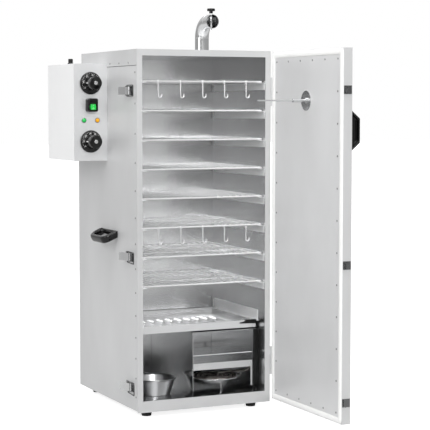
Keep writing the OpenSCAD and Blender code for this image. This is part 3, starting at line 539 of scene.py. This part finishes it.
knob_low, knob_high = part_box("damper_knob")
knob_middle = Vector(((knob_low.x + knob_high.x) / 2, (knob_low.y + knob_high.y) / 2, knob_low.z))
knob_r = (knob_high.x - knob_low.x) / 2
knob_h = knob_high.z - knob_low.z
rings = []
flute_count, flute_deep = 12, 0.0005
for out, rise, flute in ((0, 0, 0), (0.0052, 0, 0), (0.0052, 0.0062, 0),
                         (knob_r - 0.0012, 0.0064, 0.4), (knob_r, 0.0076, 1),
                         (knob_r, knob_h - 0.0012, 1), (knob_r - 0.0012, knob_h, 0.4),
                         (knob_r - 0.004, knob_h, 0), (0, knob_h - 0.0004, 0)):
    ring = []
    for k in range(96):
        angle = math.tau * k / 96
        radius = max(1e-5, out - flute * flute_deep * (1 - math.cos(flute_count * angle)))
        ring.append(knob_middle + Vector((radius * math.cos(angle), radius * math.sin(angle), rise)))
    rings.append(ring)
piece("damper_grip", lofted(rings), gloss_black, "damper", ["damper_knob"])

# ---- Control box ----
# A white coated steel box on the left side, closed at the front by a satin panel that
# carries two dials, a rocker switch and two lamps.
coated = Finish("white_enamel", (0.83, 0.835, 0.84), {"Coat Weight": 0.25, "Coat Roughness": 0.15})
orange_skin = coated.grain(420, detail=2.0)
yellowing = coated.grain(7, detail=3.0)
coated.give("Base Color", coated.between(yellowing, (0.93, 0.933, 0.936), (0.87, 0.873, 0.876)))
coated.give("Roughness", 0.34 + orange_skin * 0.06)
coated.raised(orange_skin, 0.00005, 0.3)
eased("control_housing_box", "control_housing", coated.material, "cabinet", 0.0012, 3)
panel_steel = satin_steel("panel_steel", (0.7, 0.705, 0.71), 0.4, (1, 1, 0.03), 0.7)
eased("control_panel_sheet", "control_panel", panel_steel, "cabinet", 0.0004)

# Behind the panel are the thermostat, the timer and a terminal block of pale plastic.
pale_plastic = moulded("pale_plastic", (0.72, 0.69, 0.6), 0.5)
for node in ("thermostat", "timer", "terminal_block"):
    eased(f"{node}_body", node, pale_plastic, "cabinet", 0.0008)

# ---- Dials ----
# Each dial is a glossy black moulding: a wide skirt with a bevelled edge that carries white
# marks, and a plain round grip with a short white dash and a metal disc in its end.
white_print = moulded("white_print", (0.85, 0.85, 0.84), 0.5)
disc_metal = satin_steel("disc_metal", (0.6, 0.6, 0.6), 0.24, (1, 1, 1))
digit_paths = {"1": [(0.3, 0.8), (0.5, 1), (0.5, 0)],
               "2": [(0, 0.8), (0.3, 1), (0.7, 0.9), (0.65, 0.6), (0, 0), (0.7, 0)],
               "3": [(0, 0.9), (0.4, 1), (0.65, 0.75), (0.3, 0.52), (0.68, 0.3), (0.4, 0), (0, 0.1)],
               "4": [(0.55, 0), (0.55, 1), (0, 0.3), (0.75, 0.3)],
               "6": [(0.6, 0.95), (0.15, 0.7), (0.02, 0.3), (0.35, 0), (0.68, 0.3), (0.35, 0.55),
                     (0.05, 0.35)],
               "8": [(0.35, 0.55), (0.05, 0.75), (0.35, 1), (0.65, 0.75), (0.35, 0.55), (0, 0.25),
                     (0.35, 0), (0.7, 0.25), (0.35, 0.55)],
               "0": [(0.35, 1), (0.02, 0.7), (0.02, 0.3), (0.35, 0), (0.68, 0.3), (0.68, 0.7),
                     (0.35, 1)]}


def printed(middle, marks, lift):
    """Printed strokes on a face that looks forwards: each is a thin strip between points."""
    shape = bmesh.new()
    for start, end, width in marks:
        along = (end - start).normalized()
        across = Vector((-along.y, along.x)) * width / 2
        reach_out = along * width * 0.35
        corners = (start - reach_out - across, end + reach_out - across,
                   end + reach_out + across, start - reach_out + across)
        low = [shape.verts.new(middle + Vector((c.x, 0, c.y))) for c in corners]
        high = [shape.verts.new(middle + Vector((c.x, -lift, c.y))) for c in corners]
        shape.faces.new(high)
        shape.faces.new(low[::-1])
        for k in range(4):
            after = (k + 1) % 4
            shape.faces.new((low[k], low[after], high[after], high[k]))
    return shape


def dial_marks(words, radius, turn_per_word, first_turn, size):
    """Digits and ticks around a skirt, upright along the radius."""
    marks = []
    for k in range(4 * len(words)):
        angle = first_turn - k * turn_per_word / 4
        way = Vector((math.cos(angle), math.sin(angle)))
        deep = 0.0022 if k % 4 == 0 else 0.0011
        marks.append((way * (radius + 0.0054 - deep), way * (radius + 0.0054), 0.0007))
    for k, word in enumerate(words):
        angle = first_turn - k * turn_per_word
        way = Vector((math.cos(angle), math.sin(angle)))
        across = Vector((way.y, -way.x))
        width = size * 0.85 * len(word)
        for place, digit in enumerate(word):
            corner = way * (radius - size * 0.5) + across * (place * size * 0.85 - width / 2)
            line = [corner + across * x * size + way * y * size for x, y in digit_paths[digit]]
            marks += [(a, b, size * 0.23) for a, b in zip(line, line[1:])]
    return marks


dials = {"thermostat_dial": ("thermostat_knob", ("0", "30", "60", "80", "100", "120")),
         "timer_dial": ("timer_knob", ("0", "20", "40", "60", "80", "100", "120"))}
grip_r = 0.0195
skirt_depth = 0.0442
mark_size = 0.0042
forwards = Vector((0, -1, 0))
for node, (body, words) in dials.items():
    low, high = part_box(node)
    face = Vector(((low.x + high.x) / 2, low.y, (low.z + high.z) / 2))
    skirt_r = (high.z - low.z) / 2
    skirt_back = face.y + skirt_depth
    back = Vector((face.x, skirt_back, face.z))
    length = skirt_back - face.y
    profile = [(0, 0), (skirt_r - 0.0006, 0), (skirt_r, 0.0012), (skirt_r - 0.002, 0.0046),
               (skirt_r - 0.0045, 0.0056), (grip_r + 0.0016, 0.0058), (grip_r + 0.0002, 0.0075),
               (grip_r - 0.0006, length - 0.0034), (grip_r - 0.0026, length - 0.0012),
               (0, length - 0.0012)]
    body_of_dial = turned(profile, back, forwards, 0.0009, 72)
    spindle = turned([(0, -0.0138), (0.003, -0.0138), (0.003, 0.001), (0, 0.001)], back, forwards)
    piece(f"{node}_moulding", joined([body_of_dial, spindle]), gloss_black, body,
          [node])
    disc = turned([(0, length - 0.0016), (0.0052, length - 0.0016), (0.0052, length - 0.0004),
                   (0.0047, length), (0.0026, length), (0.0021, length - 0.0008),
                   (0, length - 0.0008)], back, forwards)
    piece(f"{node}_disc", disc, disc_metal, body)
    skirt_face = Vector((face.x, skirt_back - 0.0056, face.z))
    turn_per_word = math.radians(250) / (len(words) - 0.5)
    marks = dial_marks(words, skirt_r - 0.0101, turn_per_word, math.radians(215), mark_size)
    scale_print = printed(skirt_face, marks, 0.0003)
    dash = box_shape(Vector((face.x - grip_r - 0.0002, skirt_back - length + 0.014, face.z - 0.001)),
                     Vector((face.x - grip_r + 0.0016, skirt_back - length + 0.028, face.z + 0.001)),
                     0.0002, 1)
    piece(f"{node}_print", joined([scale_print, dash]), white_print, body)

# ---- Switch and lamps ----
# A black hood with rounded corners holds a green translucent rocker, printed with a bar and
# a ring. The two lamps have a thin plated bezel and a domed lens, one green, one amber.
hood_black = moulded("hood_black", (0.003, 0.003, 0.003), 0.22, 0.3)
hood_low, hood_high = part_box("switch_housing")
rocker_low, rocker_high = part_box("switch_rocker")
panel_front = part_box("control_panel")[0].y
hood_out = hood_low.y
hood_middle = Vector(((hood_low.x + hood_high.x) / 2, 0, (hood_low.z + hood_high.z) / 2))
hood_w, hood_h = (hood_high.x - hood_low.x) / 2, (hood_high.z - hood_low.z) / 2
window_w = (rocker_high.x - rocker_low.x) / 2 + 0.0011
window_up = rocker_high.z - hood_middle.z + 0.0006
window_down = rocker_low.z - hood_middle.z - 0.0022


def frame_ring(y, low, high, radius):
    """A rounded upright rectangle of 40 points that looks forwards."""
    corners = [Vector((low[0], y, low[1])), Vector((high[0], y, low[1])),
               Vector((high[0], y, high[1])), Vector((low[0], y, high[1]))]
    return [point + Vector((hood_middle.x, 0, hood_middle.z))
            for point in softened(corners, radius, 9, closed=True)]


full = (-hood_w, -hood_h), (hood_w, hood_h)
slim = (-hood_w + 0.0012, -hood_h + 0.0012), (hood_w - 0.0012, hood_h - 0.0012)
brow = (-hood_w + 0.0034, -hood_h + 0.003), (hood_w - 0.0034, hood_h - 0.0034)
window = (-window_w, window_down), (window_w, window_up)
sleeve = (-hood_w + 0.0025, -hood_h + 0.0025), (hood_w - 0.0025, hood_h - 0.0025)
rings = [frame_ring(hood_high.y, *sleeve, 0.002), frame_ring(panel_front + 0.0002, *sleeve, 0.002),
         frame_ring(panel_front, *full, 0.006), frame_ring(hood_out + 0.003, *full, 0.006),
         frame_ring(hood_out + 0.0008, *slim, 0.006), frame_ring(hood_out, *brow, 0.005),
         frame_ring(hood_out + 0.0006, *window, 0.0012),
         frame_ring(hood_out + 0.011, *window, 0.0012)]
piece("switch_hood", lofted(rings), hood_black, "cabinet", ["switch_housing"])
green_glow = Finish("rocker_green", (0.01, 0.5, 0.05), {"Roughness": 0.25, "Emission Strength": 0.2})
glow = green_glow.grain(160, detail=1.0)
green_glow.give("Base Color", green_glow.between(glow, (0.0, 0.42, 0.04), (0.03, 0.6, 0.09)))
green_glow.give("Emission Color", green_glow.between(glow, (0.0, 0.35, 0.03), (0.02, 0.6, 0.08)))
eased("switch_rocker_cap", "switch_rocker", green_glow.material, "rocker", 0.0007, 3)
rocker_x = (rocker_low.x + rocker_high.x) / 2
rocker_z = (rocker_low.z + rocker_high.z) / 2
mark_y = rocker_low.y + 0.0002
lean = 3.0 / 16
bar_mark = [(Vector((0, 0.0025)), Vector((0, 0.0058)), 0.0012)]
ring_steps, ring_r, ring_drop = 16, 0.0017, 0.0042
ring_points = [Vector((ring_r * math.cos(math.tau * j / ring_steps),
                       ring_r * math.sin(math.tau * j / ring_steps) - ring_drop))
               for j in range(ring_steps + 1)]
ring_mark = [(first, second, 0.0009) for first, second in zip(ring_points, ring_points[1:])]
rocker_print = printed(Vector((rocker_x, mark_y, rocker_z)), bar_mark + ring_mark, 0.0002)
for vert in rocker_print.verts:
    vert.co.y += (vert.co.z - rocker_low.z) * lean
piece("switch_rocker_print", rocker_print, white_print, "rocker")

lamp_colours = (("green", (0.0, 0.25, 0.03), (0.02, 0.6, 0.12)),
                ("amber", (0.6, 0.2, 0.0), (1.0, 0.55, 0.02)))
for (low, high), (word, deep, pale) in zip(islands("pilot_lamps"), lamp_colours):
    lens = Finish(f"lamp_{word}", pale, {"Roughness": 0.12, "Emission Strength": 0.2})
    facets = lens.grain(500, detail=0.0)
    lens.give("Base Color", lens.between(facets, deep, pale))
    lens.give("Emission Color", lens.between(facets, deep, pale))
    middle = Vector(((low.x + high.x) / 2, panel_front, (low.z + high.z) / 2))
    dome = [(0, -0.015), (0.005, -0.015), (0.005, 0.0015), (0.0058, 0.0016), (0.0054, 0.0036),
            (0.004, 0.0052), (0.002, 0.0059), (0, 0.006)]
    piece(f"lamp_lens_{word}", turned(dome, middle, forwards, 0.0004), lens.material, "cabinet",
          ["pilot_lamps"])
    bezel_profile = [(0.0058, 0), (0.0075, 0), (0.0072, 0.0018), (0.0062, 0.0024), (0.0058, 0.0018)]
    bezel = turned(bezel_profile, middle, forwards, 0.0003, around=True)
    piece(f"lamp_bezel_{word}", bezel, screw_steel, "cabinet")

# ---- Cable gland ----
# A black nylon gland on top of the box, where the power cord would enter: a hexagon, a
# ribbed dome nut and a rubber lip.
nylon = moulded("gland_nylon", (0.004, 0.004, 0.004), 0.34, 0.3)
eased("cable_gland_body", "cable_gland", nylon, "cabinet", 0.0005, 3)
gland_low, gland_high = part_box("cable_gland")
gland_middle = Vector(((gland_low.x + gland_high.x) / 2, (gland_low.y + gland_high.y) / 2, gland_high.z))
rib_count = 14
ribs = [box_shape(gland_middle + Vector((0.0059, -0.0005, -0.0092)),
                  gland_middle + Vector((0.0068, 0.0005, -0.0014)), 0.0002, 1)
        for _ in range(rib_count)]
for k, rib in enumerate(ribs):
    turn = math.tau * k / rib_count
    for vert in rib.verts:
        x, y = vert.co.x - gland_middle.x, vert.co.y - gland_middle.y
        vert.co.x = gland_middle.x + x * math.cos(turn) - y * math.sin(turn)
        vert.co.y = gland_middle.y + x * math.sin(turn) + y * math.cos(turn)
piece("cable_gland_ribs", joined(ribs), nylon, "cabinet")

# ---- Latches ----
# Each toggle latch is a pressed base with two ears, riveted on, a folded lever and a closed
# wire loop that pulls over the keeper on the door's edge.
wire_steel = satin_steel("wire_steel", (0.08, 0.081, 0.083), 0.18, (1, 1, 1))
latch_steel = satin_steel("latch_steel", (0.2, 0.202, 0.205), 0.2, (1, 1, 1))
lever_steel = satin_steel("lever_steel", (0.78, 0.785, 0.79), 0.16, (1, 1, 1))
eased("latch_base_plates", "latch_bases", latch_steel, "cabinet", 0.0004)
rivet_profile = [(0, 0), (0.0022, 0), (0.0019, 0.0007), (0.0009, 0.0012), (0, 0.0013)]
rivets = []
for low, high in islands("latch_bases"):
    for y in (low.y + 0.006, high.y - 0.006):
        for z in (low.z + 0.0075, high.z - 0.0075):
            spot = Vector((left_x - 0.0012, y, z))
            rivets.append(turned(rivet_profile, spot, Vector((-1, 0, 0)), 0.0002, 20))
piece("latch_rivets", joined(rivets), wire_steel, "cabinet")
joints = {joint["name"]: joint for joint in frame["record"]["behaviour"]["joints"]}
loop_r = 0.0015
for place in ("low", "mid", "top"):
    eased(f"latch_lever_plate_{place}", f"latch_lever_{place}", lever_steel, f"lever_{place}",
          0.0004)
    node = f"latch_loop_{place}"
    low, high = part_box(node)
    pivot = Vector(joints[f"loop_{place}_turn"]["pos_m"])
    far = Vector((low.x + loop_r, low.y + loop_r, pivot.z))
    normal = Vector((far.y - pivot.y, pivot.x - far.x, 0)).normalized()
    half = (high.z - low.z) / 2 - loop_r
    up = Vector((0, 0, half))
    corners = softened([pivot - up, pivot + up, far + up, far - up], 0.0032, 6, closed=True)
    wire_r = loop_r - 0.00002
    wire = swept(corners, oval(wire_r, wire_r, steps=16), normal, around=True)
    piece(f"latch_wire_{place}", wire, wire_steel, f"loop_{place}", [node])

# ---- Hinges ----
# Two butt hinges of pressed steel with rolled knuckles and a fixed pin. Three screws hold
# each leaf, to the cabinet's right side or to the door.
plated_steel = satin_steel("plated_steel", (0.5, 0.505, 0.51), 0.24, (1, 1, 1))
eased("hinge_leaves_fixed", "hinge_leaves_cabinet", frame_steel, "cabinet", 0.0003)
eased("hinge_leaves_moving", "hinge_leaves_door", frame_steel, "door", 0.0003)
for node, body, word in (("hinge_leaves_cabinet", "cabinet", "fixed"),
                         ("hinge_leaves_door", "door", "moving")):
    heads = []
    for low, high in islands(node):
        for share in (0.15, 0.5, 0.85):
            z = low.z + (high.z - low.z) * share
            if body == "cabinet":
                spot = Vector((right_x + 0.0014, high.y - 0.009, z))
                heads.append(pan_head(spot, Vector((1, 0, 0)), 0.0024, 0.001))
            else:
                spot = Vector((high.x - 0.009, low.y + 0.0001, z))
                heads.append(pan_head(spot, forwards, 0.0024, 0.0001))
    piece(f"hinge_screws_{word}", joined(heads), plated_steel, body)

# ---- Heater bay ----
# A folded hood of bright sheet makes the bay. A shield with a deep front lip stands over
# the element, and a round bar across the front keeps the pan of chips in place.
bay_steel = satin_steel("bay_steel", (0.72, 0.725, 0.73), 0.15, (0.02, 1, 1))
eased("heater_hood", "heater_bay", bay_steel, "cabinet", 0.0003)
eased("heater_shield_sheet", "heat_shield", bay_steel, "cabinet", 0.0003)

# The dish under the element is spun from thin sheet, with a rolled rim, on three legs.
dish_low, dish_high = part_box("heater_dish")
dish_middle = Vector(((dish_low.x + dish_high.x) / 2, (dish_low.y + dish_high.y) / 2, dish_low.z))
dish_r = (dish_high.x - dish_low.x) / 2
rim_z = dish_high.z - dish_low.z
base_z = rim_z - 0.0145
upwards = Vector((0, 0, 1))
profile = [(0, base_z), (dish_r - 0.017, base_z), (dish_r - 0.004, rim_z - 0.0016),
           (dish_r, rim_z - 0.002), (dish_r, rim_z), (dish_r - 0.0045, rim_z),
           (dish_r - 0.0175, base_z + 0.0012), (0, base_z + 0.0012)]
leg_profile = [(0, 0), (0.004, 0), (0.004, 0.0008), (0.0016, 0.0016), (0.0016, base_z + 0.0005),
               (0, base_z + 0.0005)]
legs = []
for degrees in (30, 150, 270):
    way = Vector((math.cos(math.radians(degrees)), math.sin(math.radians(degrees)), 0))
    foot = dish_middle + way * (dish_r - 0.025)
    legs.append(turned(leg_profile, foot, upwards, 0.0003, 20))
    support = [dish_middle + way * out + upwards * (base_z + 0.005) for out in (0.008, dish_r - 0.02)]
    legs.append(swept(support, oval(0.0008, 0.0044, 6, 12), upwards))
dish = turned(profile, dish_middle, upwards, 0.0016, 80)
piece("heater_dish_spun", joined([dish] + legs), bay_steel, "cabinet",
      ["heater_dish"])

# A black silicone edging is pushed on the front of the hood's right side.
bay_low, bay_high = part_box("heater_bay")
edging = box_shape(Vector((bay_high.x - 0.011, bay_low.y - 0.0035, bay_low.z + 0.001)),
                   Vector((bay_high.x + 0.0032, bay_low.y - 0.0002, bay_high.z)), 0.0012)
piece("hood_edging", edging, hood_black, "cabinet")

# The element is a sheathed steel tube wound into a flat spiral, tinted by heat.
heated = Finish("element_sheath", (0.2, 0.18, 0.17), {"Metallic": 0.85})
scale_marks = heated.grain(45, detail=5.0)
oxide = heated.grain(900, detail=2.0)
scaled = heated.steps(scale_marks, [(0.35, 0.0), (0.65, 1.0)])
heated.give("Base Color", heated.between(scaled, (0.16, 0.14, 0.13), (0.5, 0.47, 0.45)))
heated.give("Roughness", 0.3 + scale_marks * 0.25)
heated.raised(oxide, 0.00006, 0.4)
eased("element_spiral", "heating_element", heated.material, "cabinet", 0.0003)

# ---- Drip tray and water bowl ----
# The tray is pressed from bright sheet, with a row of slots and a folded rim that rides on
# the rails. The bowl is spun, with a flared wall and a rolled rim.
tray_steel = satin_steel("tray_steel", (0.78, 0.785, 0.79), 0.22, (0.03, 1, 1), 0.75)
eased("drip_tray_pan", "drip_tray", tray_steel, "tray", 0.0004)
tray_low, tray_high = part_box("drip_tray")
tray_points = [vert.co for vert in frame["nodes"]["drip_tray"].data.vertices]
floor_points = [point for point in tray_points if point.z < tray_low.z + 0.0001]
floor_x = sorted({round(point.x, 5) for point in floor_points
                  if tray_low.x + 0.012 < point.x < tray_high.x - 0.012})
floor_y = sorted({round(point.y, 5) for point in floor_points
                  if abs(point.x - floor_x[0]) < 0.0001})
sheet_t = 0.0012
louvre = [(-0.0003, 0), (0.0012, 0.0026), (0.0036, 0.0046), (0.0072, 0.0056)]
fins = []
for x in floor_x[::2]:
    low_side = [Vector((x + u, 0, tray_low.z + sheet_t + w)) for u, w in louvre]
    high_side = [point + Vector((-0.0006, 0, 0.001)) for point in low_side[::-1]]
    fins.append(lofted([[point + Vector((0, y, 0)) for point in low_side + high_side]
                        for y in (floor_y[0], floor_y[-1])]))
piece("drip_tray_louvres", joined(fins), tray_steel, "tray")

# A black block over the tray's front right corner is painted shade: it stands in for the dark shadow that
# falls there.
corner_x, corner_z = tray_high.x - 0.0045, tray_high.z
outline = [(0.0008, 0.0016), (-0.032, 0.0016), (-0.037, -0.0035), (-0.05, -0.0055),
           (-0.052, -0.0085), (0.0008, -0.0105)]
outline = [Vector((corner_x + u, 0, corner_z + w)) for u, w in outline]
outline = softened(outline, 0.0016, 3, closed=True)
tray_corner_shade = lofted([[point + Vector((0, y, 0)) for point in outline]
                for y in (tray_low.y - 0.0022, tray_low.y + 0.007)])
piece("drip_tray_corner_shade", tray_corner_shade, hood_black, "tray")

spun_steel = satin_steel("spun_steel", (0.5, 0.505, 0.51), 0.3, (1, 1, 1))
bowl_low, bowl_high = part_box("water_bowl")
bowl_middle = Vector(((bowl_low.x + bowl_high.x) / 2, (bowl_low.y + bowl_high.y) / 2, bowl_low.z))
bowl_r = (bowl_high.x - bowl_low.x) / 2
bowl_h = bowl_high.z - bowl_low.z
profile = [(0, 0.0008), (0.038, 0.0008), (0.04, 0), (0.0455, 0),
           (bowl_r - 0.0055, bowl_h - 0.0045), (bowl_r - 0.0012, bowl_h - 0.0026),
           (bowl_r, bowl_h - 0.0012), (bowl_r - 0.0006, bowl_h), (bowl_r - 0.0035, bowl_h - 0.0005),
           (bowl_r - 0.0065, bowl_h - 0.003), (0.0447, 0.0012), (0, 0.002)]
bowl = turned(profile, bowl_middle, upwards, 0.0012, 88)
piece("water_bowl_spun", bowl, spun_steel, "bowl", ["water_bowl"])

# ---- Door ----
# A deep pan of satin sheet, closed by a bright inner panel that is screwed on all round.
# A flat white silicone seal with rounded corners lies in the step between them.
eased("door_pan", "door_shell", casing_steel, "door", 0.0009, 3)
inner_steel = satin_steel("inner_steel", (0.76, 0.763, 0.767), 0.4, (1, 1, 0.02), 0.3)
eased("door_inner_sheet", "door_inner_panel", inner_steel, "door", 0.0004)

silicone = Finish("white_silicone", (0.95, 0.95, 0.94), {})
dust = silicone.grain(30, detail=5.0)
silicone.give("Base Color", silicone.between(dust, (0.97, 0.97, 0.96), (0.88, 0.88, 0.87)))
silicone.give("Roughness", 0.4 + dust * 0.15)
silicone.raised(silicone.grain(1600), 0.00003, 0.3)
seal_low, seal_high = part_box("door_seal")
seal_w = 0.016
seal_t = seal_high.x - seal_low.x
half_seal = seal_w / 2
middle_line = [Vector((seal_high.x, y, z)) for y, z in
               ((seal_low.y + half_seal, seal_low.z + half_seal),
                (seal_high.y - half_seal, seal_low.z + half_seal),
                (seal_high.y - half_seal, seal_high.z - half_seal),
                (seal_low.y + half_seal, seal_high.z - half_seal))]
section = [(-half_seal, 0), (half_seal, 0), (half_seal, 0.0014),
           (half_seal - 0.0022, seal_t - 0.0004), (0.002, seal_t), (-0.002, seal_t),
           (-half_seal + 0.0022, seal_t - 0.0004), (-half_seal, 0.0014)]
seal = swept(softened(middle_line, 0.0028, 6, closed=True), section, Vector((-1, 0, 0)), around=True)
piece("door_seal_band", seal, silicone.material, "door", ["door_seal"], 50)

# The pull is one solid black moulding with a finger hollow in each side; the keepers are
# small folded plates riveted to the door's free edge.
eased("door_pull", "door_handle", gloss_black, "door", 0.0024, 4)
eased("door_keeper_plates", "door_keepers", latch_steel, "door", 0.0004)

# ---- Thermometer ----
# A bimetal dial on the outside, with a black bezel, a white face and a red needle behind
# glass. Its bright stem passes through the door and ends in a thin probe.
dial_low, dial_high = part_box("thermometer_dial")
dial_middle = Vector((dial_low.x, (dial_low.y + dial_high.y) / 2, (dial_low.z + dial_high.z) / 2))
outwards = Vector((1, 0, 0))
bezel_r = (dial_high.z - dial_low.z) / 2
bezel_t = dial_high.x - dial_low.x
bezel_profile = [(0, 0), (bezel_r - 0.0006, 0), (bezel_r, 0.0012), (bezel_r, 0.0052),
                 (bezel_r - 0.002, bezel_t), (bezel_r - 0.0048, bezel_t),
                 (bezel_r - 0.0056, 0.0042), (0, 0.004)]
bezel = turned(bezel_profile, dial_middle, outwards, 0.0008, 80)
piece("thermometer_bezel", bezel, gloss_black, "door", ["thermometer_dial"])
face_white = moulded("face_white", (0.85, 0.85, 0.83), 0.5)
face_profile = [(0, 0.0039), (bezel_r - 0.0056, 0.0041), (bezel_r - 0.0058, 0.0044), (0, 0.0044)]
piece("thermometer_face", turned(face_profile, dial_middle, outwards), face_white, "door")
ticks = []
for k in range(31):
    angle = math.radians(225 - 9 * k)
    long = 0.0046 if k % 5 == 0 else 0.0026
    inner, outer = bezel_r - 0.0075 - long, bezel_r - 0.0075
    start, end = (dial_middle + outwards * 0.0046
                  + Vector((0, out * math.cos(angle), out * math.sin(angle)))
                  for out in (inner, outer))
    ticks.append(swept([start, end], oval(0.0003 if k % 5 else 0.0005, 0.0001, 4, 8), outwards))
piece("thermometer_ticks", joined(ticks), hood_black, "door")
needle_red = moulded("needle_red", (0.55, 0.02, 0.01), 0.4)
rest_turn = math.radians(205)
needle_way = Vector((0, math.cos(rest_turn), math.sin(rest_turn)))
tip = dial_middle + outwards * 0.0053 + needle_way * (bezel_r - 0.011)
tail = dial_middle + outwards * 0.0053 - needle_way * 0.007
hub = turned([(0, 0.0044), (0.0026, 0.0044), (0.0024, 0.0062), (0, 0.0064)], dial_middle, outwards, 0.0004)
needle = swept([tail, tip], oval(0.0006, 0.00025, 3, 10), outwards)
piece("thermometer_needle", joined([needle, hub]), needle_red, "door")
glass = Finish("dial_glass", (0.95, 0.97, 0.97), {"Transmission Weight": 1.0, "IOR": 1.45})
glass.give("Roughness", 0.02 + glass.grain(12) * 0.03)
pane_profile = [(0, 0.0070), (bezel_r - 0.0052, 0.0066), (bezel_r - 0.0052, 0.0072), (0, 0.0078)]
pane = turned(pane_profile, dial_middle, outwards)
piece("thermometer_glass", pane, glass.material, "door")
stem_steel = satin_steel("stem_steel", (0.6, 0.605, 0.61), 0.22, (1, 1, 1))
eased("thermometer_stem", "thermometer_probe", stem_steel, "door", 0.0003)

# ---- Racks and hooks ----
# The racks are welded from polished round wire: a frame, two cross rods and a row of
# wires whose ends stand just past the front and back rods. The hooks are bent wire, with
# rings round the front rods of the top and the sixth rack.
chrome = Finish("chromed_wire", (0.9, 0.905, 0.91), {"Metallic": 0.7})
film = chrome.grain(14, detail=1.0)
chrome.give("Base Color", chrome.between(film, (0.95, 0.955, 0.96), (0.84, 0.84, 0.84)))
chrome.give("Roughness", 0.14 + film * 0.1)
chrome.raised(chrome.grain(220, detail=0.0), 0.00002, 0.3)
wire_nodes = [node for node in frame["nodes"] if node.startswith(("rack_", "hooks_"))]
for node in wire_nodes:
    frame["nodes"][node].data.materials.clear()
    frame["nodes"][node].data.materials.append(chrome.material)

# ---- Studio ----
# A plain pale floor, a white surround, three soft boxes and the camera. The floor shines
# to the eye only, so that it stays white without lighting the cabinet from below.
floor_finish = Finish("studio_floor", (0.5, 0.5, 0.5), {"Emission Strength": 0.85})
seen = floor_finish.node("ShaderNodeLightPath", {}, {}, "Is Camera Ray")
floor_finish.give("Emission Color", floor_finish.between(seen, (0, 0, 0), (1, 1, 1)))
floor_finish.give("Roughness", 0.65 + floor_finish.grain(3) * 0.1)
bpy.ops.mesh.primitive_plane_add(size=60, location=(0, 0, 0))
floor = bpy.context.object
floor.name = "studio_floor"
floor.data.materials.append(floor_finish.material)

middle_y = (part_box("front_frame")[0].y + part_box("rear_cover")[1].y) / 2
cabinet_middle = Vector((middle_x, middle_y, 0))


def soft_box(name, place, aim, size, power):
    """A square lamp at a place, turned to face another."""
    lamp = bpy.data.lights.new(name, "AREA")
    lamp.shape = "RECTANGLE"
    lamp.size, lamp.size_y = size
    lamp.energy = power
    made = bpy.data.objects.new(name, lamp)
    made.location = cabinet_middle + Vector(place)
    made.rotation_euler = (Vector(aim) - Vector(place)).to_track_quat("-Z", "Y").to_euler()
    bpy.context.collection.objects.link(made)


soft_box("overhead_box", (-0.6, -1.2, 3.4), (0, 0, 0.6), (2.4, 2.4), 55)
soft_box("left_box", (-3.2, -1.2, 1.9), (0, 0, 0.7), (1.2, 2.0), 33)
soft_box("front_box", (-0.9, -4.6, 2.2), (0, 0, 0.6), (1.6, 1.2), 60)

# The surround is white to the eye, and for the light it is bright above and dimmer below.
world = bpy.data.worlds.new("studio")
bpy.context.scene.world = world
sky = Tree(world)
way = sky.node("ShaderNodeTexCoord", {}, {}, "Generated")
rise = sky.node("ShaderNodeSeparateXYZ", {}, {0: way}, "Z")
shade = sky.steps(rise * 0.5 + 0.5, [(0.0, 0.22), (0.48, 0.34), (0.62, 0.62), (1.0, 1.0)])
seen = sky.node("ShaderNodeLightPath", {}, {}, "Is Camera Ray")
sky.feed(sky.nodes["Background"].inputs["Color"], sky.mixed(seen, shade, (1, 1, 1, 1)))
bpy.context.scene.view_settings.view_transform = "Standard"

camera_place = Vector((-1.7312, -4.0016, 0.8553))
camera_dip, camera_turn = 4.095, 25.052
camera = bpy.data.cameras.new("camera")
camera.lens = 124.88
camera.sensor_width = 36
camera.clip_end = 200
camera_object = bpy.data.objects.new("camera", camera)
camera_object.location = cabinet_middle + camera_place
camera_object.rotation_euler = (math.radians(90 - camera_dip), 0, math.radians(-camera_turn))
bpy.context.collection.objects.link(camera_object)
bpy.context.scene.camera = camera_object
